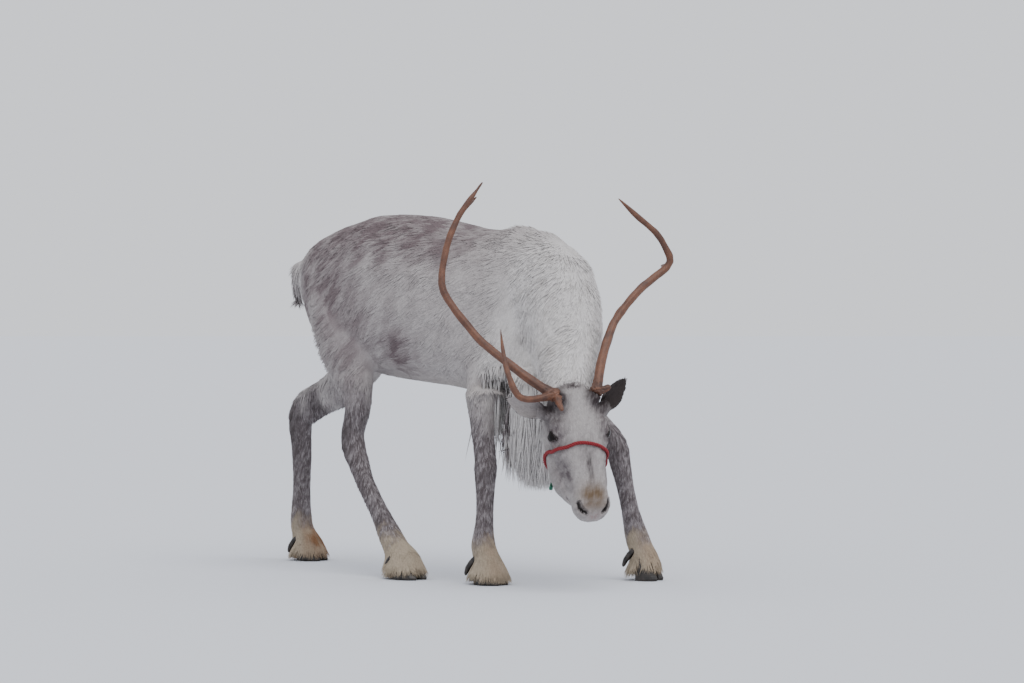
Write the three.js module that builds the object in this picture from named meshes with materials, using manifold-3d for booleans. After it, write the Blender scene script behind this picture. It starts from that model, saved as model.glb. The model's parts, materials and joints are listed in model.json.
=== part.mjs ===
// Reindeer standing with its head lowered and turned to its right, in winter coat.
// Millimetres, +X forward, +Y to the animal's left, +Z up, soles of the hooves at z = 0.
// The solids have the true outline of the coat; short fur is a surface matter and isn't modelled here.

import * as THREE from 'three';
import Module from 'manifold-3d';
import { mergeVertices } from 'three/addons/utils/BufferGeometryUtils.js';

const wasm = await Module();
wasm.setup();

// Driving dimensions
const GAP = 0.3;                       // between pieces that touch
const CROUP_HEIGHT = 1082;             // top of the coat over the hips
const WITHERS_HEIGHT = 1038;
const BELLY_HEIGHT = 556;
const TRUNK_HALF_WIDTH = 200;
const HEAD_LENGTH = 378;               // poll to lips, along the head
const POLL = [349, -245, 580];         // between the antlers
const HEAD_TURN = -27.8;               // degrees about the vertical, towards the animal's right
const HEAD_DROOP = 62.1;               // degrees below level
const HEAD_TILT = 7;                   // degrees about the head's own length
const EYE_RADIUS = 17.5;
const EYE_PLACE = [138, 74, -44];      // along, aside and up from the poll
const LID_THICKNESS = 3.4;
const EAR_LENGTH = 118;
const EAR_WALL = 5;
const PEDICLE_PLACE = [40, 57, 4];     // where each antler stands on the head
const BURR_RADIUS = 20;
const HOOF_LENGTH = 92;
const HOOF_WIDTH = 47;
const HOOF_HEIGHT = 46;
const DEWCLAW_LENGTH = 52;
const DEWCLAW_TOP = 76;                // its root above the floor
const CANNON_REACH = 440;              // fore and aft room a slanting cannon takes up
const NOSEBAND_RADIUS = 4.6;
const NOSEBAND_PLACE = 184;            // along the head from the poll

const COAT = { color: '#d8d2c8', roughness: 0.9, metalness: 0 };
const MANE = { color: '#e6e1d8', roughness: 0.9, metalness: 0 };
const LEG_COAT = { color: '#857b72', roughness: 0.9, metalness: 0 };
const FOOT_COAT = { color: '#c2ab8b', roughness: 0.9, metalness: 0 };
const EAR_COAT = { color: '#6d5d53', roughness: 0.9, metalness: 0 };
const ANTLER = { color: '#7d4e33', roughness: 0.6, metalness: 0 };
const HORN = { color: '#2a2420', roughness: 0.45, metalness: 0 };
const EYE = { color: '#16100d', roughness: 0.05, metalness: 0 };
const RED_ROPE = { color: '#a3222c', roughness: 0.8, metalness: 0 };
const GREEN_ROPE = { color: '#1f8063', roughness: 0.8, metalness: 0 };

// Vectors and frames
const vec = (p) => new THREE.Vector3(...p);
const FORWARD = vec([1, 0, 0]);
const UP = vec([0, 0, 1]);
const DOWN = vec([0, 0, -1]);
const radians = THREE.MathUtils.degToRad;

// The head's own frame: x from the poll to the nose, y to its left, z out of the forehead
const headFrame = new THREE.Matrix4().makeTranslation(...POLL)
  .multiply(new THREE.Matrix4().makeRotationZ(radians(HEAD_TURN)))
  .multiply(new THREE.Matrix4().makeRotationY(radians(HEAD_DROOP)))
  .multiply(new THREE.Matrix4().makeRotationX(radians(HEAD_TILT)));
const onHead = (p) => vec(p).applyMatrix4(headFrame);

// Smooth value between rows of numbers, at place u counted in rows
function between(rows, u) {
  const last = rows.length - 1;
  const i = Math.min(Math.floor(u), last - 1);
  const t = u - i;
  const [a, b, c, d] = [i - 1, i, i + 1, i + 2].map((k) => rows[THREE.MathUtils.clamp(k, 0, last)]);
  return b.map((_, k) => 0.5 * (2 * b[k] + (c[k] - a[k]) * t
    + (2 * a[k] - 5 * b[k] + 4 * c[k] - d[k]) * t * t
    + (3 * b[k] - a[k] - 3 * c[k] + d[k]) * t * t * t));
}

// Closed solid of a fan-capped stack of hoops, or of a ring of hoops when looped
function skin(hoops, looped = false) {
  const sides = hoops[0].length;
  const points = hoops.flat();
  const faces = [];
  const spans = looped ? hoops.length : hoops.length - 1;
  for (let i = 0; i < spans; i += 1) {
    const lower = i * sides;
    const upper = ((i + 1) % hoops.length) * sides;
    for (let j = 0; j < sides; j += 1) {
      const k = (j + 1) % sides;
      faces.push(lower + j, lower + k, upper + k, lower + j, upper + k, upper + j);
    }
  }
  if (!looped) {
    [[0, -1], [hoops.length - 1, 1]].forEach(([i, way]) => {
      const centre = new THREE.Vector3();
      hoops[i].forEach((p) => centre.addScaledVector(p, 1 / sides));
      const hub = points.push(centre) - 1;
      for (let j = 0; j < sides; j += 1) {
        const edge = [i * sides + j, i * sides + (j + 1) % sides];
        faces.push(hub, ...(way > 0 ? edge : edge.reverse()));
      }
    });
  }
  return solid(points.flatMap((p) => p.toArray()), faces);
}

// Solid from points and faces, with its faces turned outwards
function solid(numbers, faces) {
  const at = (i) => vec(numbers.slice(3 * i, 3 * i + 3));
  let volume = 0;
  for (let i = 0; i < faces.length; i += 3) {
    volume += at(faces[i]).dot(at(faces[i + 1]).cross(at(faces[i + 2])));
  }
  const triVerts = Uint32Array.from(volume < 0 ? faces.slice().reverse() : faces);
  const vertProperties = Float32Array.from(numbers);
  return new wasm.Manifold(new wasm.Mesh({ numProp: 3, vertProperties, triVerts }));
}

// Solid of a three.js geometry placed by a matrix
function placed(geometry, matrix = new THREE.Matrix4()) {
  const plain = geometry.clone().deleteAttribute('normal').deleteAttribute('uv');
  const merged = mergeVertices(plain).applyMatrix4(matrix);
  return solid(Array.from(merged.attributes.position.array), Array.from(merged.index.array));
}

// One ring of a form: a squared oval with its own reach to the sides, above and below
function section([x, y, z, half, above, below, square = 2.2], along, lean, sides, swell = 0) {
  const side = lean.clone().cross(along).normalize();
  const up = along.clone().cross(side).normalize();
  const ring = [];
  for (let j = 0; j < sides; j += 1) {
    const angle = (2 * Math.PI * j) / sides;
    const [c, s] = [Math.cos(angle), Math.sin(angle)];
    const across = Math.sign(c) * Math.abs(c) ** (2 / square) * (half + swell);
    const rise = Math.sign(s) * Math.abs(s) ** (2 / square) * ((s > 0 ? above : below) + swell);
    ring.push(vec([x, y, z]).addScaledVector(side, across).addScaledVector(up, rise));
  }
  return ring;
}

// A form lofted through its stations; upright forms keep their rings square to one fixed direction
function rings(stations, { sides = 16, steps = 3, lean = UP, upright = null, swell = 0 } = {}) {
  const count = (stations.length - 1) * steps;
  const values = Array.from({ length: count + 1 }, (_, i) => between(stations, i / steps));
  return values.map((value, i) => {
    const ahead = vec(values[Math.min(i + 1, count)].slice(0, 3));
    const along = upright || ahead.sub(vec(values[Math.max(i - 1, 0)].slice(0, 3))).normalize();
    return section(value, along, lean, sides, swell);
  });
}
const form = (stations, options) => skin(rings(stations, options));
const headForm = (stations, options) => skin(rings(stations, options).map((ring) => (
  ring.map((p) => p.applyMatrix4(headFrame)))));

const together = (pieces) => pieces.reduce((sum, piece) => sum.add(piece));
const largest = (piece) => piece.decompose().reduce((a, b) => (b.volume() > a.volume() ? b : a));

// Block that starts on the plane at a place and reaches along a direction
function block(place, direction, reach, width, height, lean = UP) {
  const z = direction.clone().normalize();
  const x = lean.clone().cross(z).normalize();
  const y = z.clone().cross(x);
  const turn = new THREE.Matrix4().makeBasis(x, y, z);
  turn.setPosition(place.clone().addScaledVector(z, reach / 2));
  return placed(new THREE.BoxGeometry(width, height, reach), turn);
}

// Splits a body on the front face of a block: the part inside it, and what is left with a gap
function split(body, place, direction, reach, width, height, lean) {
  const inside = body.intersect(block(place, direction, reach, width, height, lean));
  const edge = place.clone().addScaledVector(direction.clone().normalize(), -GAP);
  const grown = [reach, width, height].map((size) => size + 2 * GAP);
  const rest = body.subtract(block(edge, direction, ...grown, lean));
  return [largest(inside), largest(rest)];
}

// Trunk: stations give place, half-width, reach above and below, squareness
function trunkForm() {
  const outline = [
    [-820, 925, 872, 26], [-806, 968, 812, 52], [-775, 993, 748, 84], [-722, 1022, 680, 128],
    [-630, 1052, 622, 170], [-494, CROUP_HEIGHT, 584, 194], [-390, 1081, 568, TRUNK_HALF_WIDTH],
    [-304, 1071, 559, TRUNK_HALF_WIDTH], [-218, 1053, BELLY_HEIGHT - 6, TRUNK_HALF_WIDTH - 4],
    [-130, 1033, 534, 188], [-50, 1028, 506, 174], [30, WITHERS_HEIGHT, 508, 158],
    [95, 985, 545, 132], [140, 905, 610, 96], [162, 830, 690, 52],
  ];
  const stations = outline.map(([x, top, bottom, half]) => {
    const middle = bottom + (top - bottom) * 0.46;
    return [x, 0, middle, half, top - middle, middle - bottom, 2.25];
  });
  return form(stations, { sides: 18, steps: 1, upright: FORWARD });
}

// Neck: leaves the shoulders downwards and bends to the right into the back of the skull
function neckForm() {
  return form([
    [-70, 0, 800, 150, 220, 190, 2.2], [50, 8, 806, 150, 212, 205, 2.2],
    [138, -22, 752, 134, 172, 182, 2.2], [205, -78, 690, 110, 130, 152, 2.2],
    [252, -138, 622, 92, 98, 124, 2.2], [288, -192, 556, 80, 78, 98, 2.2],
    [312, -222, 505, 62, 60, 70, 2.2],
  ], { sides: 18, steps: 2 });
}

// Even random numbers between 0 and 1 from a fixed seed
function dice(seed) {
  let state = seed;
  return () => {
    state = (state * 1664525 + 1013904223) % 4294967296;
    return state / 4294967296;
  };
}

// One flat lock of hair: broad near its root, bent down along its length, closing to a thin tip
function lockForm(root, out, fall, length, width, thickness) {
  const bend = [[0, 0, 0.7], [0.3, 0.2, 1], [0.68, 0.62, 0.72], [1, 1, 0.16]];
  const side = out.clone().cross(UP).normalize();
  const hoops = bend.map(([t, drop, size]) => {
    const place = root.clone().addScaledVector(out, length * (0.34 * t - 0.18 * drop));
    place.addScaledVector(fall, length * (0.25 * t + 0.75 * drop));
    const [w, h] = [width * size * 0.5, thickness * Math.max(size, 0.3) * 0.5];
    const face = out.clone().addScaledVector(fall, -0.3 * (1 - t)).normalize();
    return [[w, 0], [0, h], [-w, 0], [0, -h]].map(([x, y]) => (
      place.clone().addScaledVector(side, x).addScaledVector(face, y)));
  });
  return skin(hoops);
}

// Throat mane: a core under the neck, and tiers of long locks that hang from it and overlap
const MANE_CORE = [
  [128, -48, 660, 90, 80, 96, 2.2], [124, -78, 580, 90, 76, 90, 2.2], [128, -98, 512, 76, 66, 76, 2.2],
  [136, -112, 456, 56, 46, 52, 2.2], [142, -120, 414, 18, 16, 18, 2.2],
];
const MANE_LEAN = vec([0.6, 0.8, 0]);
const MANE_TIERS = [
  // Place on the core counted in stations, number of locks, length, width
  [0.9, 9, 208, 76], [1.5, 9, 212, 72], [2.15, 8, 198, 62], [2.8, 6, 184, 50], [3.3, 4, 160, 36],
];
function maneForm() {
  const random = dice(7);
  const locks = MANE_TIERS.flatMap(([level, count, length, width]) => {
    const value = between(MANE_CORE, level);
    const ahead = between(MANE_CORE, level + 0.2);
    const along = vec(ahead.slice(0, 3)).sub(vec(value.slice(0, 3))).normalize();
    const middle = vec(value.slice(0, 3));
    return section(value, along, MANE_LEAN, count).map((edge) => {
      const out = edge.clone().sub(middle).setZ(0).normalize();
      const vary = 0.86 + 0.26 * random();
      const fall = vec([0.1 * (random() - 0.5), 0.1 * (random() - 0.5), -1]).normalize();
      return lockForm(edge.addScaledVector(out, -14), out, fall, length * vary, width * vary, 11);
    });
  });
  return together([form(MANE_CORE, { sides: 12, steps: 1, lean: MANE_LEAN }), ...locks]);
}

// Head, in its own frame: place along, top, bottom, half-width, squareness
const HEAD_OUTLINE = [
  [-30, -22, -118, 46, 2.2], [-8, -4, -146, 64, 2.3], [40, 4, -166, 76, 2.5], [92, 3, -166, 80, 2.5],
  [140, 0, -156, 80, 2.5], [184, -7, -146, 75, 2.4], [224, -17, -138, 67, 2.4], [264, -27, -131, 59, 2.4],
  [304, -35, -127, 54, 2.5], [336, -44, -125, 54, 2.6], [358, -57, -121, 48, 2.5],
  [372, -74, -114, 34, 2.3], [HEAD_LENGTH, -86, -102, 16, 2],
];
const headStations = HEAD_OUTLINE.map(([x, top, bottom, half, square]) => {
  const middle = bottom + (top - bottom) * 0.52;
  return [x, 0, middle, half, top - middle, middle - bottom, square];
});

// Lower jaw and cheeks, fuller than the nose above them
const JAW = [
  [40, 0, -106, 62, 40, 58], [80, 0, -110, 76, 42, 62], [130, 0, -112, 82, 44, 62],
  [180, 0, -114, 84, 44, 64], [228, 0, -116, 84, 42, 62], [268, 0, -114, 77, 38, 54],
  [304, 0, -108, 60, 28, 36], [332, 0, -104, 40, 20, 22],
].map((row) => [...row, 2.2]);
const jawForm = () => headForm(JAW, { sides: 14, steps: 1, upright: FORWARD });

// Brow: the bony rim that stands out round each eye
const browForm = (side) => headForm([
  [84, side * 60, -36, 12, 12, 12, 2], [112, side * 71, -34, 19, 18, 20, 2],
  [140, side * 73, -40, 20, 19, 25, 2], [168, side * 68, -54, 17, 15, 22, 2],
  [200, side * 57, -66, 11, 10, 13, 2],
], { sides: 10, steps: 1, upright: FORWARD });

// A lofted form's surface at a place along the head and an angle about it, raised by a height
function onStations(stations, place, angle, height) {
  let [low, high] = [0, stations.length - 1];
  while (high - low > 1e-4) {
    const middle = (low + high) / 2;
    if (between(stations, middle)[0] < place) low = middle;
    else high = middle;
  }
  const [, , z, half, above, below, square = 2.2] = between(stations, low);
  const [c, s] = [Math.cos(radians(angle)), Math.sin(radians(angle))];
  const across = Math.sign(c) * Math.abs(c) ** (2 / square) * (half + height);
  const rise = Math.sign(s) * Math.abs(s) ** (2 / square) * ((s > 0 ? above : below) + height);
  return [place, across, z + rise];
}
const onFace = (place, angle, height = 0) => onStations(headStations, place, angle, height);

// The outer of the head's and the jaw's surfaces
function onJaw(place, angle, height) {
  const [face, jaw] = [headStations, JAW].map((stations) => onStations(stations, place, angle, height));
  const middle = -90;
  return Math.hypot(jaw[1], jaw[2] - middle) > Math.hypot(face[1], face[2] - middle) ? jaw : face;
}

// A cord or groove of round section along points, as an open or a looped tube
function cord(points, radius, sides, looped = false) {
  const curve = new THREE.CatmullRomCurve3(points, looped);
  const spans = looped ? points.length : points.length - 1;
  const count = looped ? spans : spans + 1;
  const hoops = [];
  for (let i = 0; i < count; i += 1) {
    const place = curve.getPoint(i / spans);
    const along = curve.getTangent(i / spans);
    const lean = Math.abs(along.z) > 0.9 ? FORWARD : UP;
    hoops.push(section([...place.toArray(), radius, radius, radius, 2], along, lean, sides));
  }
  return skin(hoops, looped);
}

// Eye socket, lids and eyeball on one side
function eyeParts(side) {
  const [x, y, z] = EYE_PLACE;
  const centre = onHead([x, side * y, z]);
  const outward = onHead([x + 2, side * (y + 10), z + 3]).sub(centre).normalize();
  const along = onHead([x + 10, side * y, z + 1]).sub(centre);
  const ball = (radius, detail) => placed(new THREE.SphereGeometry(radius, detail, detail / 2),
    new THREE.Matrix4().setPosition(centre));
  const slit = new THREE.Shape();
  slit.moveTo(-15.5, -2);
  slit.quadraticCurveTo(-4, 14, 14, 1);
  slit.quadraticCurveTo(-1, -14, -15.5, -2);
  const right = along.clone().addScaledVector(outward, -along.dot(outward)).normalize();
  const turn = new THREE.Matrix4().makeBasis(right, outward.clone().cross(right), outward);
  turn.setPosition(centre);
  const cut = { depth: 40, bevelEnabled: false, curveSegments: 5 };
  const opening = placed(new THREE.ExtrudeGeometry(slit, cut), turn);
  return {
    lids: ball(EYE_RADIUS + LID_THICKNESS, 10),
    socket: ball(EYE_RADIUS + GAP, 12),
    opening,
    eyeball: ball(EYE_RADIUS, 12),
  };
}

// Ear: a leaf-shaped cup on a short tube, its hollow turned by the facing angle
function earForm(base, tip, facing) {
  const start = onHead(base);
  const along = onHead(tip).sub(start).normalize();
  const open = onHead(base.map((v, i) => v + facing[i])).sub(start);
  const side = open.clone().cross(along).normalize();
  const out = along.clone().cross(side).normalize();
  // Place along the ear, half-width, cup depth, half-angle of the wall, thickness
  const stations = [
    [-24, 17, 17, 150, 14], [2, 20, 19, 150, 14], [14, 24, 21, 132, 9], [34, 30, 22, 108, EAR_WALL],
    [58, 32, 20, 94, EAR_WALL], [82, 26, 15, 84, EAR_WALL], [104, 14, 8, 76, EAR_WALL * 0.8],
    [EAR_LENGTH, 3.2, 3.4, 70, 1.6],
  ];
  const half = 4;
  const hoops = Array.from({ length: 2 * (stations.length - 1) + 1 }, (_, i) => {
    const [place, width, depth, spread, wall] = between(stations, i / 2);
    const ring = [];
    const arc = (shrink, way) => {
      for (let j = 0; j <= half; j += 1) {
        const angle = radians(spread * way * (1 - (2 * j) / half) * (shrink ? 0.93 : 1));
        const reach = start.clone().addScaledVector(along, place);
        reach.addScaledVector(side, Math.sin(angle) * (width - shrink));
        ring.push(reach.addScaledVector(out, -Math.cos(angle) * (depth - shrink) + depth * 0.3));
      }
    };
    arc(0, 1);
    arc(wall, -1);
    return ring;
  });
  // Gristly root that fills the foot of the cup
  const gristle = [[-52, 8, 8], [-34, 19, 19], [-12, 23, 21], [6, 21, 19], [22, 12, 10]];
  const root = gristle.map(([place, width, depth]) => {
    const middle = start.clone().addScaledVector(along, place).addScaledVector(out, depth * 0.3);
    return [...middle.toArray(), width, depth, depth, 2];
  });
  return skin(hoops).add(form(root, { sides: 10, steps: 1, lean: out }));
}

// Antlers: place in the head's frame and radius, from the burr to the tip
const RIGHT_BEAM = [
  [40, -58, 5, 18], [12, -96, 4, 14.5], [-36, -138, -4, 14], [-92, -182, -14, 13],
  [-151, -228, -22, 12.5], [-218, -266, -24, 12], [-289, -301, -19, 11.5], [-338, -313, -9, 11],
  [-400, -299, 9, 10.5], [-462, -274, 30, 10], [-520, -238, 50, 9.5], [-560, -202, 66, 8.5],
  [-592, -172, 77, 5], [-604, -160, 82, 2],
];
const RIGHT_TINE = [
  [36, -66, 8, 11], [46, -110, 12, 10.5], [52, -156, 22, 10.5], [40, -182, 28, 10.5], [4, -194, 34, 9.5],
  [-46, -201, 40, 8], [-104, -200, 45, 6], [-146, -196, 48, 3.6], [-160, -194, 49, 1.6],
];
const RIGHT_STUB = [[44, -62, 10, 11], [70, -68, 26, 9.5], [98, -70, 42, 7.5], [104, -71, 46, 3.5]];
const RIGHT_POINT = [[-524, -236, 50, 7], [-556, -196, 56, 5.5], [-572, -178, 58, 2.2]];
const LEFT_BEAM = [
  [40, 57, 5, 18], [4, 72, 2, 14.5], [-58, 100, -9, 14], [-124, 134, -17, 13.5], [-188, 173, -22, 12.5],
  [-244, 226, -24, 12], [-300, 292, -21, 12], [-334, 348, -12, 12], [-362, 382, 2, 11.5],
  [-398, 372, 17, 11], [-444, 344, 34, 10], [-482, 300, 48, 9], [-512, 268, 60, 7.5],
  [-534, 246, 67, 3.5], [-540, 240, 69, 1.6],
];
const LEFT_STUB = [[34, 62, 8, 12], [34, 80, 16, 11], [31, 93, 22, 8.5], [30, 97, 24, 4]];
const LEFT_SPUR = [[-350, 366, -4, 8], [-362, 368, -22, 6.5], [-368, 366, -34, 2.5]];

const TINES = {
  R: [['tine', RIGHT_TINE], ['brow_stub', RIGHT_STUB], ['point', RIGHT_POINT]],
  L: [['brow_stub', LEFT_STUB], ['spur', LEFT_SPUR]],
};

function antlerForm(route, swell = 0) {
  const places = route.map((row) => onHead(row.slice(0, 3)));
  const back = places[0].clone().sub(places[1]).normalize();
  places[0].addScaledVector(back, swell);
  const stations = route.map(([, , , r], i) => [...places[i].toArray(), r, r * 0.9, r * 0.9, 2]);
  const lean = onHead([0, 0, 1]).sub(onHead([0, 0, 0]));
  return form(stations, { sides: 7, steps: 2, lean, swell });
}

// Burr: the rough ring round the foot of each antler, made with the beam
function burrForm(route, swell = 0) {
  const [foot, next] = [route[0], route[1]].map((p) => onHead(p.slice(0, 3)));
  const along = next.clone().sub(foot).normalize();
  const place = (t) => foot.clone().addScaledVector(along, t).toArray();
  const hoops = [[2, 0.86], [6, 1], [12, 1], [19, 0.72]].map(([level, size]) => {
    const t = level + swell * Math.sign(level - 9);
    const radius = BURR_RADIUS + swell;
    const ring = section([...place(t), radius, radius, radius, 2], along, UP, 10);
    const centre = vec(place(t));
    return ring.map((p, j) => centre.clone().lerp(p, size * (j % 2 ? 1 : 0.9)));
  });
  return skin(hoops);
}

// Legs: stations from inside the body to the coronet; reach ahead and behind instead of above and below
const LEGS = {
  FR: {
    joints: [
      [-10, -70, 850, 58, 112, 118, 2.2], [2, -98, 750, 66, 104, 112, 2.2], [-14, -122, 650, 60, 82, 88, 2.2],
      [-38, -142, 570, 48, 58, 60, 2.2], [-36, -152, 500, 39, 44, 44, 2.2], [-24, -160, 420, 33, 36, 37, 2.2],
      [-11, -168, 350, 31, 35, 34, 2.3], [-8, -172, 310, 29, 31, 32, 2.3], [-4, -178, 250, 24, 26, 27, 2.3],
      [-2, -184, 180, 24, 25, 27, 2.3], [-2, -190, 122, 32, 32, 36, 2.3], [8, -192, 88, 34, 34, 38, 2.3],
      [16, -193, 58, 42, 44, 42, 2.4], [18, -194, 36, 44, 48, 42, 2.4],
    ],
    foot: [20, -194], heading: -3, hoof: 1, lift: 36, cannon: 352, fetlock: 142,
  },
  FL: {
    joints: [
      [0, 70, 850, 58, 112, 118, 2.2], [28, 82, 750, 66, 108, 106, 2.2], [38, 88, 650, 62, 84, 86, 2.2],
      [74, 96, 575, 50, 60, 60, 2.2], [124, 108, 512, 40, 47, 46, 2.2], [184, 126, 450, 34, 39, 38, 2.2],
      [225, 141, 402, 32, 38, 36, 2.3], [237, 150, 350, 30, 33, 32, 2.3], [248, 162, 280, 24, 26, 27, 2.3],
      [260, 172, 208, 24, 25, 27, 2.3], [274, 181, 142, 31, 31, 35, 2.3], [286, 184, 104, 33, 33, 36, 2.3],
      [298, 185, 74, 38, 38, 38, 2.4], [304, 186, 52, 39, 40, 38, 2.4],
    ],
    foot: [310, 186], heading: 6, hoof: 0.8, lift: 50, cannon: 402, fetlock: 160,
  },
  HR: {
    joints: [
      [-690, -52, 900, 88, 150, 66, 2.2], [-650, -86, 810, 90, 178, 64, 2.2],
      [-585, -116, 720, 78, 138, 90, 2.2], [-530, -134, 640, 60, 88, 96, 2.2],
      [-505, -142, 560, 46, 55, 56, 2.2], [-503, -142, 490, 38, 42, 44, 2.2],
      [-518, -141, 436, 32, 36, 44, 2.2], [-520, -144, 390, 30, 44, 42, 2.2],
      [-498, -150, 340, 27, 36, 31, 2.3], [-463, -157, 278, 24, 27, 28, 2.3],
      [-406, -166, 198, 24, 26, 28, 2.3], [-358, -175, 132, 31, 33, 35, 2.3],
      [-328, -182, 92, 34, 36, 38, 2.3], [-294, -189, 58, 41, 46, 44, 2.4],
      [-282, -192, 36, 43, 50, 46, 2.4],
    ],
    foot: [-276, -192], heading: -6, hoof: 1.04, lift: 36, cannon: 366, fetlock: 146,
  },
  HL: {
    joints: [
      [-690, 52, 900, 88, 130, 70, 2.2], [-684, 86, 810, 88, 160, 96, 2.2],
      [-680, 112, 720, 78, 130, 116, 2.2], [-712, 124, 640, 62, 100, 92, 2.2],
      [-780, 130, 572, 50, 80, 60, 2.2], [-852, 134, 530, 42, 64, 50, 2.2],
      [-922, 138, 498, 35, 62, 52, 2.2], [-966, 142, 456, 32, 54, 46, 2.2],
      [-970, 148, 400, 29, 37, 36, 2.3], [-971, 154, 330, 27, 34, 33, 2.3],
      [-978, 162, 230, 25, 28, 29, 2.3], [-985, 168, 132, 31, 33, 36, 2.3],
      [-980, 172, 92, 34, 35, 37, 2.3], [-966, 175, 60, 41, 44, 44, 2.4],
      [-960, 176, 38, 43, 48, 44, 2.4],
    ],
    foot: [-956, 176], heading: 4, hoof: 1, lift: 36, cannon: 430, fetlock: 152,
  },
};
const legForm = ({ joints }) => form(joints, { sides: 10, steps: 2, lean: FORWARD });

const HOOF_SIDES = 8;
const CLEFT = 1.2;                     // half of the slit between the two claws

// One claw of a foot, from its flat sole up to the hair line
function hoofForm(leg, side, swell = 0) {
  const turn = new THREE.Matrix4().makeTranslation(...leg.foot, 0)
    .multiply(new THREE.Matrix4().makeRotationZ(radians(leg.heading)));
  const length = HOOF_LENGTH * leg.hoof;
  const width = HOOF_WIDTH * (0.5 + 0.5 * leg.hoof);
  const height = HOOF_HEIGHT / leg.hoof;
  // Height, shift ahead, length and width as shares, inward lean of the claw
  const levels = [
    [0, 0.1, 0.95, 0.92], [0.14, 0.11, 1, 1], [0.62, 0.01, 0.78, 0.96], [1.15, -0.09, 0.52, 0.78],
  ];
  const hoops = levels.map(([rise, ahead, long, wide]) => {
    const ring = [];
    for (let j = 0; j < HOOF_SIDES; j += 1) {
      const angle = (2 * Math.PI * j) / HOOF_SIDES;
      const x = Math.cos(angle) * (length * long * 0.5 + swell);
      const taper = 1 - 0.34 * Math.max(0, Math.cos(angle)) ** 2;
      const y = Math.sin(angle) * (width * wide * 0.5 + swell) * taper;
      const toe = 0.09 * Math.max(0, x / length) * length;
      const flat = Math.max(side * y, -width * wide * 0.36 - swell) * side;
      const aside = flat + side * (width * 0.5 + CLEFT - toe);
      ring.push(vec([x + ahead * length, aside, rise * height - (rise ? 0 : swell)]).applyMatrix4(turn));
    }
    return ring;
  });
  return skin(hoops);
}

// Dewclaw: a small blunt claw behind the foot
function dewclawForm(leg, side, swell = 0) {
  const turn = new THREE.Matrix4().makeTranslation(...leg.foot, leg.lift - 36)
    .multiply(new THREE.Matrix4().makeRotationZ(radians(leg.heading)));
  const route = [
    [-30, 22, 0, 9.5, 9, 8], [-44, 25, 0.27, 11, 10, 8], [-56, 27, 0.58, 10.5, 9, 7],
    [-63, 27, 0.88, 7, 6, 5], [-65, 26, 1, 3, 3, 2.5],
  ].map(([x, y, share, half, above, below]) => {
    const place = vec([x, side * y, DEWCLAW_TOP - share * DEWCLAW_LENGTH]).applyMatrix4(turn);
    return [...place.toArray(), half, above, below, 2.2];
  });
  return form(route, { sides: 6, steps: 1, lean: FORWARD, swell });
}

// Tail: a short flap that hangs behind the rump
function tailForm() {
  return form([
    [-780, 0, 950, 34, 26, 26], [-816, 0, 932, 36, 24, 24], [-838, 0, 898, 33, 18, 20],
    [-848, 0, 858, 24, 12, 14], [-852, 0, 826, 9, 5, 5],
  ], { sides: 12, steps: 2, lean: vec([-1, 0, 0]) });
}

// Mouth: a groove on each side that meets under the nose
function mouthGroove() {
  const line = [[300, -30], [322, -24], [344, -20], [362, -22], [374, -30]];
  const left = line.map(([place, angle]) => onFace(place, angle, -1));
  const right = line.map(([place, angle]) => onFace(place, 180 - angle, -1)).reverse();
  return cord([...left, ...right].map(onHead), 3.4, 5);
}

// Nostril: a slanted comma sunk into the side of the nose
function nostril(side) {
  const lean = (angle) => (side > 0 ? angle : 180 - angle);
  const comma = [[336, 40], [346, 33], [355, 24], [357, 14]];
  const points = comma.map(([place, angle]) => onFace(place, lean(angle), 0.5));
  return cord(points.map(onHead), 6.5, 6);
}

// Halter: a rope round the muzzle, lower under the jaw, and the short tie that hangs on it
const ropePlace = (angle) => {
  const [c, s] = [Math.cos(radians(angle)), Math.sin(radians(angle))];
  return NOSEBAND_PLACE + 21 * c - 2 * c * c + 34 * Math.min(s, 0) ** 2;
};
function nosebandForm(swell = 0) {
  const count = 16;
  const points = Array.from({ length: count }, (_, i) => {
    const angle = (360 * i) / count;
    return onHead(onJaw(ropePlace(angle), angle, NOSEBAND_RADIUS + 1.2));
  });
  return cord(points, NOSEBAND_RADIUS + swell, 5, true);
}
function tieForm() {
  const height = NOSEBAND_RADIUS + 2.5;
  const points = [[216, 236], [227, 229], [238, 221], [247, 214]].map(([place, angle]) => (
    onHead(onJaw(place, angle, height))));
  return cord(points, NOSEBAND_RADIUS, 6);
}

// Joining the body and cutting it into its pieces
const eyes = { L: eyeParts(1), R: eyeParts(-1) };
const ears = {
  L: earForm([64, 84, -44], [-12, 171, -22], [34, 26, 60]),
  R: earForm([64, -82, -50], [10, -158, -76], [30, -40, 50]),
};
const pedicles = [-1, 1].map((side) => {
  const [x, y, z] = PEDICLE_PLACE;
  return headForm([
    [x + 34, side * (y - 48), z - 58, 22, 22, 22, 2], [x + 20, side * (y - 28), z - 34, 32, 30, 30, 2],
    [x + 9, side * (y - 12), z - 16, 26, 25, 25, 2], [x - 1, side * (y + 2), z + 1, 18, 18, 18, 2],
  ], { sides: 12, steps: 1, lean: UP });
});

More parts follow.
